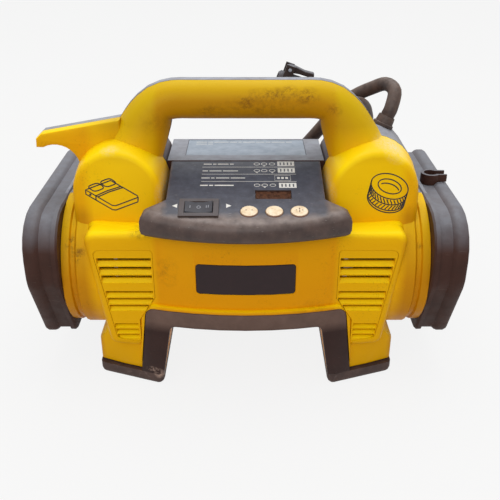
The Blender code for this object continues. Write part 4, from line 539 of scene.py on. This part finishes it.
def smoothing():
    """A modifier group that welds a solid and shades it smooth up to an angle."""
    group = bpy.data.node_groups.get("smooth_by_angle")
    if group:
        return group
    _, sizes, _ = settings()
    group = bpy.data.node_groups.new("smooth_by_angle", "GeometryNodeTree")
    group.interface.new_socket("Geometry", in_out="INPUT", socket_type="NodeSocketGeometry")
    group.interface.new_socket("Geometry", in_out="OUTPUT", socket_type="NodeSocketGeometry")
    start = add_node(group, "NodeGroupInput")
    welded = add_node(group, "GeometryNodeMergeByDistance",
                      {"Geometry": start.outputs[0], "Distance": WELD})
    angle = add_node(group, "GeometryNodeInputMeshEdgeAngle")
    sharp = add_node(group, "FunctionNodeCompare",
                     {0: angle.outputs["Unsigned Angle"], 1: sizes.smooth_angle},
                     data_type="FLOAT", operation="GREATER_THAN")
    shaded = add_node(group, "GeometryNodeSetMeshNormal",
                      {"Mesh": welded.outputs[0], "Remove Custom": True,
                       "Edge Sharpness": sharp.outputs[0], "Face Sharpness": False})
    add_node(group, "NodeGroupOutput", {0: shaded.outputs[0]})
    return group


def dress(names, look, round_edges=0.0):
    """Gives solids their material, and softens their shading and their edges."""
    for name in names:
        piece = NODES[name]
        piece.data.materials.clear()
        piece.data.materials.append(look)
        smooth = piece.modifiers.new("smooth", "NODES")
        smooth.node_group = smoothing()
        if round_edges:
            bevel = piece.modifiers.new("edges", "BEVEL")
            bevel.width = round_edges
            bevel.segments = 2
            bevel.limit_method = "ANGLE"
            bevel.angle_limit = math.radians(40)
            bevel.use_clamp_overlap = True
            bevel.harden_normals = True


def mesh_from(bm, name):
    mesh = bpy.data.meshes.new(name)
    bm.to_mesh(mesh)
    bm.free()
    return mesh


def add_piece(name, data, body, look=None):
    """Puts a new piece in the scene, on a body and in a material slot."""
    if look:
        data.materials.append(look)
    piece = bpy.data.objects.new(name, data)
    bpy.context.scene.collection.objects.link(piece)
    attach(piece, body)
    return piece


def lathe(name, profile, steps=28, closed=False):
    """A mesh turned about z from radii and heights."""
    bm = bmesh.new()
    rings = [[bm.verts.new((r * math.cos(2 * math.pi * k / steps),
                            r * math.sin(2 * math.pi * k / steps), z)) for k in range(steps)]
             for r, z in profile]
    pairs = list(zip(rings, rings[1:])) + ([(rings[-1], rings[0])] if closed else [])
    for low, high in pairs:
        for k in range(steps):
            j = (k + 1) % steps
            bm.faces.new((low[k], low[j], high[j], high[k]))
    bmesh.ops.recalc_face_normals(bm, faces=bm.faces)
    for face in bm.faces:
        face.smooth = True
    return mesh_from(bm, name)


# ---------------------------------------------------------------- marks on surfaces

def ribbon(points, width, closed=False):
    """Outline pieces of a drawn line: quads in the plane, one for each stretch."""
    count = len(points)
    sides = []
    for i in range(count):
        before = points[i - 1] if closed or i else points[i]
        after = points[(i + 1) % count] if closed or i < count - 1 else points[i]
        along = (after - before).normalized()
        sides.append(Vector((-along.y, along.x)) * width / 2)
    stretches = range(count if closed else count - 1)
    return [[points[i] + sides[i], points[i] - sides[i],
             points[(i + 1) % count] - sides[(i + 1) % count],
             points[(i + 1) % count] + sides[(i + 1) % count]] for i in stretches]


def dense(points, step, closed=False):
    """The same line with points no further apart than a step."""
    ends = points[1:] + (points[:1] if closed else [])
    made = []
    for a, b in zip(points, ends):
        parts = max(1, math.ceil((b - a).length / step))
        made += [a.lerp(b, i / parts) for i in range(parts)]
    return made if closed else made + [points[-1]]


def ellipse(cx, cy, rx, ry, start=0, end=360, steps=32, turn=0):
    spin = Matrix.Rotation(math.radians(turn), 2)
    closed = abs(end - start) >= 360
    count = steps if closed else steps + 1
    made = []
    for i in range(count):
        angle = math.radians(start + (end - start) * i / steps)
        made.append(Vector((cx, cy)) + spin @ Vector((rx * math.cos(angle),
                                                      ry * math.sin(angle))))
    return made


def rectangle(x, y, width, height):
    return [Vector((x - width / 2, y - height / 2)), Vector((x + width / 2, y - height / 2)),
            Vector((x + width / 2, y + height / 2)), Vector((x - width / 2, y + height / 2))]


def marks(name, shapes, place, look, body="housing"):
    """A piece of ink: flat shapes put in place, each lifted along the surface's normal."""
    _, sizes, _ = settings()
    bm = bmesh.new()
    for shape in shapes:
        top = []
        foot = []
        for point in shape:
            at, normal = place(point)
            top.append(bm.verts.new(at + normal * sizes.ink))
            foot.append(bm.verts.new(at - normal * INK_FOOT))
        bm.faces.new(top)
        bm.faces.new(list(reversed(foot)))
        for i in range(len(top)):
            j = (i + 1) % len(top)
            bm.faces.new((top[j], top[i], foot[i], foot[j]))
    bmesh.ops.remove_doubles(bm, verts=bm.verts, dist=1e-7)
    bmesh.ops.recalc_face_normals(bm, faces=bm.faces)
    return add_piece(name, mesh_from(bm, name), body, look)


def on_panel(point):
    """A point of the panel's film, in x and y, and the film's normal."""
    reach = point.y / math.cos(PANEL_SLOPE)
    return PANEL_EDGE + Vector((point.x, 0, 0)) + PANEL_ALONG * reach, PANEL_NORMAL


def caster(name, origin=Vector(), across=Vector((1, 0, 0)), along=Vector((0, 0, 1)),
           away=Vector((0, -1, 0))):
    """Finds a solid's surface under a point of a plane that stands in front of it."""
    mesh = NODES[name].data
    tree = BVHTree.FromPolygons([v.co.copy() for v in mesh.vertices],
                                [tuple(p.vertices) for p in mesh.polygons])

    def place(point):
        start = origin + across * point.x + along * point.y + away * PLANE_AWAY
        hit, normal, _, _ = tree.ray_cast(start, -away)
        if hit is None:
            raise RuntimeError("a mark misses %s at %s" % (name, tuple(point)))
        return hit, normal
    return place


def word_bars(x, y, widths, height):
    """Thin bars that stand where a line of small print would be."""
    shapes = []
    for width in widths:
        shapes.append(rectangle(x + width / 2, y, width, height))
        x += width + 1.1 * MM
    return shapes


# ---------------------------------------------------------------- operators

class InflatorOperator(Operator):
    """Shared by all the operators below."""
    bl_options = {"REGISTER", "UNDO"}


class INFLATOR_OT_housing(InflatorOperator):
    """Yellow ABS of the front shell and its louvres"""
    bl_idname = "inflator.housing"
    bl_label = "Yellow housing"

    def execute(self, context):
        dress(["front_shell"], housing_abs("moulded_abs_yellow"))
        # the louvres get a little more painted light, and neither dirt nor painted shade nor
        # painted highlights
        dress(["vent_grille_left", "vent_grille_right"],
              housing_abs("moulded_abs_louvre", extra_painted_light=0.05, dirt_and_painted_light=False))
        return {"FINISHED"}


class INFLATOR_OT_rear(InflatorOperator):
    """Charcoal nylon of the rear shell, caps and ports"""
    bl_idname = "inflator.rear"
    bl_label = "Charcoal housing"

    def execute(self, context):
        colours, _, _ = settings()
        # the rear shell, deck and all, gets the full painted sky sheen in a paler grey
        dress(["rear_shell"], charcoal_nylon("glass_filled_nylon_rear", colours.housing_dark,
                                             1.0, dust=linear("#A0A3AB")))
        dress(["left_end_cap", "right_end_cap"],
              charcoal_nylon("glass_filled_nylon_caps", colours.housing_dark, 0.85))
        dress(["inflate_port", "deflate_port", "blower_casing"],
              charcoal_nylon("glass_filled_nylon_ports", colours.housing_dark, 0.5))
        for side, name in ((-1, "cap_skirt_left"), (1, "cap_skirt_right")):
            self.skirt(name, side, NODES["left_end_cap"].data.materials[0])
        return {"FINISHED"}

    def skirt(self, name, side, look):
        """A thin skirt of the end cap that wraps the collar at the end of the front shell."""
        bm = bmesh.new()
        bm.from_mesh(NODES["front_shell"].data)
        bmesh.ops.remove_doubles(bm, verts=bm.verts, dist=WELD)
        outer = [f for f in bm.faces
                 if not all(v.co.x * side > COLLAR_X and v.co.z < SKIRT_TOP for v in f.verts)]
        bmesh.ops.delete(bm, geom=outer, context="FACES")
        bm.normal_update()
        for vert in bm.verts:
            vert.co += vert.normal * SKIRT_GAP * MM
        piece = add_piece(name, mesh_from(bm, name), "housing", look)
        wall = piece.modifiers.new("wall", "SOLIDIFY")
        wall.thickness = SKIRT_WALL
        smooth = piece.modifiers.new("smooth", "NODES")
        smooth.node_group = smoothing()


class INFLATOR_OT_trim(InflatorOperator):
    """Dark strip across the front, badge plate, clip and soles"""
    bl_idname = "inflator.trim"
    bl_label = "Trim and soles"

    def execute(self, context):
        colours, _, _ = settings()
        dress(["front_trim"], charcoal_nylon("moulded_abs_trim", linear("#35211D"), 0.35,
                                             (0.36, 0.5), True, BAND_BOTTOM))
        dress(["hose_clip"], charcoal_nylon("moulded_nylon_clip", colours.housing_dark, 0.7))
        dress(["badge_plate"], plain_plastic("gloss_abs_badge", linear("#271517"), 0.35))
        dress(["sole_left", "sole_right"], sole_rubber())
        return {"FINISHED"}


class INFLATOR_OT_controls(InflatorOperator):
    """Panel, rocker switch, buttons and display window"""
    bl_idname = "inflator.controls"
    bl_label = "Panel and controls"

    def execute(self, context):
        dress(["control_panel"], panel_nylon())
        dress(["switch_bezel"], charcoal_nylon("moulded_pbt_bezel", linear("#4A3D38"), 0.3))
        dress(["rocker_switch"], plain_plastic("moulded_pbt_rocker", linear("#3A3B42"), 0.38))
        dress(["button_1", "button_2", "button_3"], silicone_cap())
        dress(["display_lens"], smoked_acrylic())
        dress(["display_module"], plain_plastic("white_lcd_frame", linear("#C9C6BC"), 0.5))
        return {"FINISHED"}


class INFLATOR_OT_panel_print(InflatorOperator):
    """White printed rules, bars, fields and arrows on the panel"""
    bl_idname = "inflator.panel_print"
    bl_label = "Panel print"

    def execute(self, context):
        colours, _, _ = settings()
        white = ink("white_ink", colours.print_white)
        shapes = [rectangle(2.4 * MM, y * MM, 72.6 * MM, 0.35 * MM)
                  for y in (-9.2, -18.7, -28.2)]
        shapes += word_bars(-33 * MM, -5.2 * MM, [6.2 * MM, 2.6 * MM, 8.4 * MM, 3 * MM], 1.0 * MM)
        shapes += word_bars(-33.5 * MM, -14.4 * MM, [4.2 * MM, 9.4 * MM, 11.6 * MM], 1.0 * MM)
        shapes += word_bars(-34 * MM, -23.7 * MM, [6.4 * MM, 2.6 * MM, 10.2 * MM, 11 * MM],
                            1.0 * MM)
        shapes += word_bars(-34.5 * MM, -33.2 * MM, [5.8 * MM, 3 * MM, 14.4 * MM], 1.3 * MM)
        for y, pointed in ((-5, (14.3,)), (-14, (8.6, 20.5)), (-33, (14.3,))):
            for x in (8.6, 14.3, 20.5):
                shapes += self.key_sign(x * MM, y * MM, x in pointed)
        for x, y in ((31.3, -4.7), (31.4, -13.5), (31.7, -33.2)):
            shapes += self.number_field(x * MM, y * MM, 13.2 * MM, 6.2 * MM)
        shapes += ribbon(rectangle(28.2 * MM, -23.7 * MM, 12 * MM, 7 * MM), 0.35 * MM, True)
        shapes += word_bars(24 * MM, -23.7 * MM, [2 * MM, 2 * MM, 2 * MM], 2.4 * MM)
        marks("panel_marks", shapes, on_panel, white)
        arrows = [[Vector((-53.6 * MM, -58.2 * MM)), Vector((-49.8 * MM, -60.6 * MM)),
                   Vector((-49.8 * MM, -55.8 * MM))],
                  [Vector((-10.4 * MM, -58.2 * MM)), Vector((-14.2 * MM, -55.8 * MM)),
                   Vector((-14.2 * MM, -60.6 * MM))]]
        marks("switch_arrows", arrows, on_panel, white)
        self.rocker_marks()
        self.button_marks()
        return {"FINISHED"}

    def key_sign(self, x, y, pointed):
        """A ring for a key, with a pointer under it if it is the one to press."""
        shapes = ribbon(ellipse(x, y, 2.2 * MM, 1.6 * MM, steps=14), 0.45 * MM, True)
        if pointed:
            shapes.append([Vector((x - 1.1 * MM, y - 2.2 * MM)), Vector((x, y - 3.4 * MM)),
                           Vector((x + 1.1 * MM, y - 2.2 * MM))])
        return shapes

    def number_field(self, x, y, width, height):
        """A pale field with four dark places for figures."""
        shapes = [rectangle(x, y + height / 2 - 0.6 * MM, width, 1.2 * MM),
                  rectangle(x, y - height / 2 + 0.6 * MM, width, 1.2 * MM)]
        for i in range(5):
            bar = x + (i / 4 - 0.5) * (width - 1.8 * MM)
            shapes.append(rectangle(bar, y, 1.8 * MM, height - 2.4 * MM))
        return shapes

    def rocker_marks(self):
        """I, O and II on the rocker."""
        place = caster("rocker_switch", ROCKER_PIVOT, Vector((1, 0, 0)), PANEL_ALONG,
                       PANEL_NORMAL)
        shapes = [rectangle(x * MM, 0, 0.55 * MM, 3 * MM) for x in (-6.2, 5.6, 7.0)]
        shapes += ribbon(ellipse(0, 0, 1.3 * MM, 1.5 * MM, steps=16), 0.5 * MM, True)
        marks("rocker_marks", shapes, place, ink("rocker_ink", linear("#8F9096"), 0.6),
              body="rocker")

    def button_marks(self):
        """Minus and plus on the outer buttons."""
        brown = ink("button_ink", linear("#8A6A4E"), 0.6)
        for number in (1, 3):
            name = "button_%d" % number
            low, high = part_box(name)
            middle = (Vector(low) + Vector(high)) / 2
            place = caster(name, middle, Vector((1, 0, 0)), PANEL_ALONG, PANEL_NORMAL)
            shapes = [rectangle(0, 0, 5.4 * MM, 0.8 * MM)]
            if number == 3:
                shapes += [rectangle(0, s * 1.55 * MM, 0.8 * MM, 2.3 * MM) for s in (-1, 1)]
            marks("%s_mark" % name, shapes, place, brown, body=name)


class INFLATOR_OT_label(InflatorOperator):
    """Satin label on the deck, left blank but for a few rules"""
    bl_idname = "inflator.label"
    bl_label = "Deck label"

    def execute(self, context):
        colours, _, _ = settings()
        dress(["deck_label"], sheet_label())
        _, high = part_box("deck_label")
        top = high[2]

        def place(point):
            return Vector((point.x, point.y, top)), Vector((0, 0, 1))
        widths = [w * MM for w in (9, 4, 12, 6, 3, 10, 7, 4, 11, 5)]
        shapes = word_bars(-42 * MM, high[1] - 6 * MM, widths, 1.1 * MM)
        shapes += word_bars(-42 * MM, high[1] - 11 * MM, widths[:2], 1.1 * MM)
        marks("label_bars", shapes, place, ink("label_ink", colours.print_white))
        return {"FINISHED"}


class INFLATOR_OT_pictograms(InflatorOperator):
    """An air bed on the left tower and a tyre on the right one, in thin dark lines"""
    bl_idname = "inflator.pictograms"
    bl_label = "Tower pictograms"

    def execute(self, context):
        colours, sizes, _ = settings()
        dark = ink("dark_ink", colours.print_dark, 0.2)
        place = caster("front_shell")
        for name, lines in (("air_bed_pictogram", self.air_bed()),
                            ("tyre_pictogram", self.tyre())):
            shapes = [quad for line, closed in lines
                      for quad in ribbon(dense(line, 2.5 * MM, closed), sizes.line, closed)]
            marks(name, shapes, place, dark)
        return {"FINISHED"}

    def air_bed(self):
        """A mattress seen from a corner, with two pillows and a turned-down sheet."""
        corner = Vector((-121.2, 160.6)) * MM
        length = Vector((21.2, -11.9)) * MM
        width = Vector((20.0, 8.3)) * MM
        down = Vector((0, -3.4)) * MM

        def at(u, v, drop=0.0):
            return corner + length * u + width * v + down * drop
        top = [at(0, 0), at(0.94, 0), at(1, 0.07), at(1, 0.93), at(0.94, 1), at(0, 1)]
        lines = [(top, True),
                 ([at(0, 0), at(0, 0, 1), at(0.94, 0, 1), at(1, 0.07, 1), at(1, 0.93, 1),
                   at(0.985, 0.97)], False),
                 ([at(0.36, 0, 1), at(0.36, 0), at(0.33, 0.5), at(0.36, 1)], False),
                 ([at(0.43, 0), at(0.40, 0.5), at(0.43, 1)], False),
                 (ellipse(*at(0.16, 0, 0.5), 0.5 * MM, 0.5 * MM, steps=8), True)]
        for v in (0.27, 0.75):
            pillow = []
            for i in range(20):
                angle = 2 * math.pi * i / 20
                wide, deep = [math.copysign(abs(f(angle)) ** 0.6, f(angle))
                              for f in (math.cos, math.sin)]
                pillow.append(at(0.14 + 0.125 * deep, v + 0.215 * wide, -0.55 + 0.15 * deep))
            lines.append((pillow, True))
        return lines

    def tyre(self):
        """A tyre lying on its side: its rim hole, its side wall and two rows of tread."""
        x, z, turn = 108.4 * MM, 163.9 * MM, -22
        fall = Vector((-2.2, -10.6)) * MM
        wall = (15.2 * MM, 9.2 * MM)
        lines = [(ellipse(x, z, *wall, turn=turn), True),
                 (ellipse(x, z, 9.6 * MM, 5.2 * MM, turn=turn), True),
                 (ellipse(x - 0.6 * MM, z - 2.6 * MM, 8.6 * MM, 4.6 * MM, 28, 150, 12, turn),
                  False)]
        for share in (0.42, 0.84, 1.0):
            centre = Vector((x, z)) + fall * share
            lines.append((ellipse(*centre, *wall, 178, 362, 24, turn), False))
        for end in (178, 362):
            edge = ellipse(x, z, *wall, end, end + 1, 1, turn)[0]
            lines.append(([edge, edge + fall], False))
        for row, lean in ((0.0, 9), (0.42, -9)):
            for angle in range(190, 356, 11):
                high = ellipse(x, z, *wall, angle, angle + 1, 1, turn)[0] + fall * (row + 0.07)
                low = ellipse(x, z, *wall, angle + lean, angle + lean + 1, 1, turn)[0]
                lines.append(([high, low + fall * (row + 0.36)], False))
        return lines


class INFLATOR_OT_hose(InflatorOperator):
    """Air hose from the gland to its lever chuck"""
    bl_idname = "inflator.hose"
    bl_label = "Hose and chuck"

    def execute(self, context):
        _, sizes, _ = settings()
        rubber = hose_rubber()
        points = [Vector(p) for p in HOSE_LINE]
        line = self.rounded(points, 4)
        curve = bpy.data.curves.new("air_hose", "CURVE")
        curve.dimensions = "3D"
        curve.bevel_depth = sizes.hose_diameter / 2
        curve.bevel_resolution = 7
        curve.use_fill_caps = True
        spline = curve.splines.new("POLY")
        spline.points.add(len(line) - 1)
        for point, place in zip(spline.points, line):
            point.co = (*place, 1.0)
        spline.use_smooth = True
        hose = add_piece("air_hose", curve, "housing", rubber)
        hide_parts("hose")
        dress(["hose_gland"], hose_rubber())
        dress(["hose_ferrule"], metal("turned_brass", linear("#A88346"), 0.34, 4 * MM))
        dress(["chuck_body", "chuck_lever"],
              charcoal_nylon("moulded_nylon_chuck", linear("#3A2E2A"), 0.6))
        dress(["lever_pin"], metal("zinc_plated_steel", linear("#B8B9BC"), 0.3, 3 * MM))
        return {"FINISHED"}

    def rounded(self, points, steps):
        """The same line with short steps on smooth curves between its points."""
        made = []
        for i in range(len(points) - 1):
            p0 = points[max(i - 1, 0)]
            p1, p2 = points[i], points[i + 1]
            p3 = points[min(i + 2, len(points) - 1)]
            for k in range(steps):
                t = k / steps
                made.append(0.5 * (2 * p1 + (p2 - p0) * t
                                   + (2 * p0 - 5 * p1 + 4 * p2 - p3) * t * t
                                   + (3 * p1 - p0 - 3 * p2 + p3) * t ** 3))
        return made + [points[-1]]


class INFLATOR_OT_screws(InflatorOperator):
    """Cross-head screws that hold the rear shell, each in a raised ring"""
    bl_idname = "inflator.screws"
    bl_label = "Rear screws"

    def execute(self, context):
        zinc = metal("black_zinc_steel", linear("#77777C"), 0.36, 2 * MM)
        colours, _, _ = settings()
        ring_look = charcoal_nylon("glass_filled_nylon_rings", colours.housing_dark, 0.2)
        place = caster("rear_shell", away=Vector((0, 1, 0)))
        for i, (x, z) in enumerate(SCREW_PLACES):
            at, normal = place(Vector((x, z)))
            turn = normal.to_track_quat("Z", "Y").to_matrix().to_4x4()
            spot = Matrix.Translation(at) @ turn @ Matrix.Rotation(i * 0.7, 4, "Z")
            for name, mesh, look, slot in (("screw", self.head(), zinc, "steel"),
                                           ("screw_ring", self.ring(), ring_look,
                                            "housing_charcoal")):
                mesh.transform(spot)
                add_piece("%s_%d" % (name, i + 1), mesh, "housing", look)
        return {"FINISHED"}

    def ring(self):
        """A rounded ring that stands 0.8 mm off the wall."""
        profile = [(3.5, -0.3), (3.5, 0.55), (3.75, 0.8), (4.7, 0.8), (5.1, 0.45), (5.3, -0.3)]
        return lathe("screw_ring", [(r * MM, z * MM) for r, z in profile], closed=True)

    def head(self):
        """A low domed head with a cross recess."""
        bm = bmesh.new()
        rim = [bm.verts.new((3.3 * MM * math.cos(a), 3.3 * MM * math.sin(a), 0.35 * MM))
               for a in (math.radians(15 * k) for k in range(24))]
        foot = [bm.verts.new((v.co.x, v.co.y, -0.3 * MM)) for v in rim]
        dome = [bm.verts.new((v.co.x * 0.8, v.co.y * 0.8, 0.62 * MM)) for v in rim]
        arm, half = 1.7 * MM, 0.42 * MM
        corners = ((arm, -half), (arm, half), (half, half), (half, arm), (-half, arm),
                   (-half, half), (-arm, half), (-arm, -half), (-half, -half), (-half, -arm),
                   (half, -arm), (half, -half))
        cross = [bm.verts.new((x, y, 0.66 * MM)) for x, y in corners]
        floor = [bm.verts.new((x * 0.8, y * 0.8, 0.0)) for x, y in corners]
        for low, high in ((foot, rim), (rim, dome), (cross, floor)):
            for k in range(len(low)):
                j = (k + 1) % len(low)
                bm.faces.new((low[k], low[j], high[j], high[k]))
        bm.faces.new(floor)
        bm.faces.new(list(reversed(foot)))
        loops = [bm.edges.get((ring[k], ring[(k + 1) % len(ring)]))
                 for ring in (dome, cross) for k in range(len(ring))]
        bmesh.ops.triangle_fill(bm, edges=loops, use_beauty=True)
        bmesh.ops.recalc_face_normals(bm, faces=bm.faces)
        return mesh_from(bm, "screw")


class INFLATOR_OT_works(InflatorOperator):
    """Metal and board of the blower, the compressor and the battery socket"""
    bl_idname = "inflator.works"
    bl_label = "Inner works"

    def execute(self, context):
        steel = metal("drawn_steel", linear("#B4B5B9"), 0.32, 8 * MM)
        alloy = metal("cast_aluminium", linear("#BFC0C2"), 0.48, 5 * MM)
        brass = metal("brass_gear", linear("#B08D4C"), 0.32, 4 * MM)
        dress(["blower_motor", "compressor_motor", "crank_gear"], steel)
        dress(["blower_bracket", "compressor_bracket", "pump_cylinder", "cylinder_head",
               "piston_rod"], alloy)
        dress(["drive_pinion", "battery_terminals"], brass)
        dress(["blower_impeller"], plain_plastic("natural_nylon", linear("#C9C7BC"), 0.45))
        dress(["circuit_board"], plain_plastic("fr4_board", linear("#1F5A37"), 0.35))
        dress(["pressure_sensor"], plain_plastic("epoxy_package", linear("#24211F"), 0.5))
        dress(["battery_socket"], plain_plastic("moulded_pbt_socket", linear("#2E2625"), 0.5))
        return {"FINISHED"}


class INFLATOR_OT_stage(InflatorOperator):
    """Camera, pale floor and soft light"""
    bl_idname = "inflator.stage"
    bl_label = "Stage"

    def execute(self, context):
        _, _, stage = settings()
        scene = context.scene
        scene.view_settings.view_transform = "Standard"
        self.camera(scene, stage)
        self.floor(scene)
        self.lamp(scene, "key_light", (0.1, 0.35, 1.5), 1.4, stage.key, (0.0, 0.0, 0.1))
        self.lamp(scene, "fill_light", (-0.4, -1.4, 0.9), 1.2, stage.fill, (0.0, 0.0, 0.08))
        self.world(scene, stage)
        return {"FINISHED"}

    def camera(self, scene, stage):
        data = bpy.data.cameras.new("camera")
        data.sensor_width = 36.0
        data.lens = stage.lens
        data.shift_x = 0.004
        data.clip_start = 0.01
        camera = bpy.data.objects.new("camera", data)
        camera.location = (0.0017, -0.553, 0.3634)
        camera.rotation_euler = (math.pi / 2 - stage.tilt, 0, 0)
        scene.collection.objects.link(camera)
        scene.camera = camera

    def floor(self, scene):
        bm = bmesh.new()
        bmesh.ops.create_grid(bm, x_segments=1, y_segments=1, size=6.0)
        mesh = mesh_from(bm, "floor")
        made, tree, shader, _ = start_material("painted_floor", Roughness=0.9,
                                               Base_Color=(0.45, 0.44, 0.42, 1.0),
                                               Specular_IOR_Level=0.1)
        lit = add_node(tree, "ShaderNodeEmission", {"Color": (1, 1, 1, 1), "Strength": 1.0})
        blend = add_node(tree, "ShaderNodeMixShader",
                         {0: mask(tree, self.seen(tree), 0.86), 1: shader.outputs[0],
                          2: lit.outputs[0]})
        out = next(n for n in tree.nodes if n.type == "OUTPUT_MATERIAL")
        tree.links.new(blend.outputs[0], out.inputs["Surface"])
        mesh.materials.append(made)
        floor = bpy.data.objects.new("floor", mesh)
        floor.location = (0, 0, -0.0005)
        scene.collection.objects.link(floor)

    def lamp(self, scene, name, place, size, power, target):
        data = bpy.data.lights.new(name, "AREA")
        data.shape = "DISK"
        data.size = size
        data.energy = power
        lamp = bpy.data.objects.new(name, data)
        lamp.location = place
        aim = Vector(target) - Vector(place)
        lamp.rotation_mode = "QUATERNION"
        lamp.rotation_quaternion = aim.to_track_quat("-Z", "Y")
        scene.collection.objects.link(lamp)

    def seen(self, tree):
        """1 for what the camera sees, straight or in a glossy or clear surface."""
        path = add_node(tree, "ShaderNodeLightPath")
        rays = [path.outputs[name] for name in ("Is Camera Ray", "Is Glossy Ray",
                                                "Is Transmission Ray")]
        first = add_node(tree, "ShaderNodeMath", {0: rays[0], 1: rays[1]},
                         operation="MAXIMUM").outputs[0]
        return add_node(tree, "ShaderNodeMath", {0: first, 1: rays[2]},
                        operation="MAXIMUM").outputs[0]

    def world(self, scene, stage):
        """Cool and bright overhead, warm and dim low down, and white where it is seen."""
        world = bpy.data.worlds.new("studio")
        world.use_nodes = True
        tree = world.node_tree
        tree.nodes.clear()
        way = add_node(tree, "ShaderNodeTexCoord").outputs["Generated"]
        height = add_node(tree, "ShaderNodeSeparateXYZ", {0: way}).outputs["Z"]
        colour = layer(tree, (0.42, 0.38, 0.34, 1.0), (0.90, 0.95, 1.0, 1.0),
                       (height, -0.1, 0.9))
        light = add_node(tree, "ShaderNodeBackground", {"Color": colour, "Strength": stage.sky})
        white = add_node(tree, "ShaderNodeBackground", {"Color": rgba("#F7F7F7")})
        back = add_node(tree, "ShaderNodeMixShader",
                        {0: self.seen(tree), 1: light.outputs[0], 2: white.outputs[0]})
        add_node(tree, "ShaderNodeOutputWorld", {"Surface": back.outputs[0]})
        scene.world = world


class INFLATOR_PT_panel(Panel):
    """Lists the operators and the settings in the 3D view's sidebar"""
    bl_idname = "INFLATOR_PT_panel"
    bl_label = "Tyre Inflator"
    bl_space_type = "VIEW_3D"
    bl_region_type = "UI"
    bl_category = "Inflator"

    def draw(self, context):
        layout = self.layout
        for operator in OPERATORS:
            layout.operator(operator.bl_idname)
        for group in settings():
            box = layout.box()
            for name in group.__annotations__:
                box.prop(group, name)


OPERATORS = (
    INFLATOR_OT_hose, INFLATOR_OT_housing, INFLATOR_OT_rear, INFLATOR_OT_trim,
    INFLATOR_OT_controls, INFLATOR_OT_panel_print, INFLATOR_OT_label,
    INFLATOR_OT_pictograms, INFLATOR_OT_screws, INFLATOR_OT_works, INFLATOR_OT_stage,
)
GROUPS = (InflatorColours, InflatorSizes, InflatorStage)


def register():
    for item in (*GROUPS, *OPERATORS, INFLATOR_PT_panel):
        bpy.utils.register_class(item)
    bpy.types.Scene.inflator_colours = PointerProperty(type=InflatorColours)
    bpy.types.Scene.inflator_sizes = PointerProperty(type=InflatorSizes)
    bpy.types.Scene.inflator_stage = PointerProperty(type=InflatorStage)


def unregister():
    del bpy.types.Scene.inflator_stage
    del bpy.types.Scene.inflator_sizes
    del bpy.types.Scene.inflator_colours
    for item in (INFLATOR_PT_panel, *reversed(OPERATORS), *reversed(GROUPS)):
        bpy.utils.unregister_class(item)


def main():
    register()
    bpy.ops.inflator.hose()
    bpy.ops.inflator.housing()
    bpy.ops.inflator.rear()
    bpy.ops.inflator.trim()
    bpy.ops.inflator.controls()
    bpy.ops.inflator.panel_print()
    bpy.ops.inflator.label()
    bpy.ops.inflator.pictograms()
    bpy.ops.inflator.screws()
    bpy.ops.inflator.works()
    bpy.ops.inflator.stage()


if __name__ == "__main__":
    main()
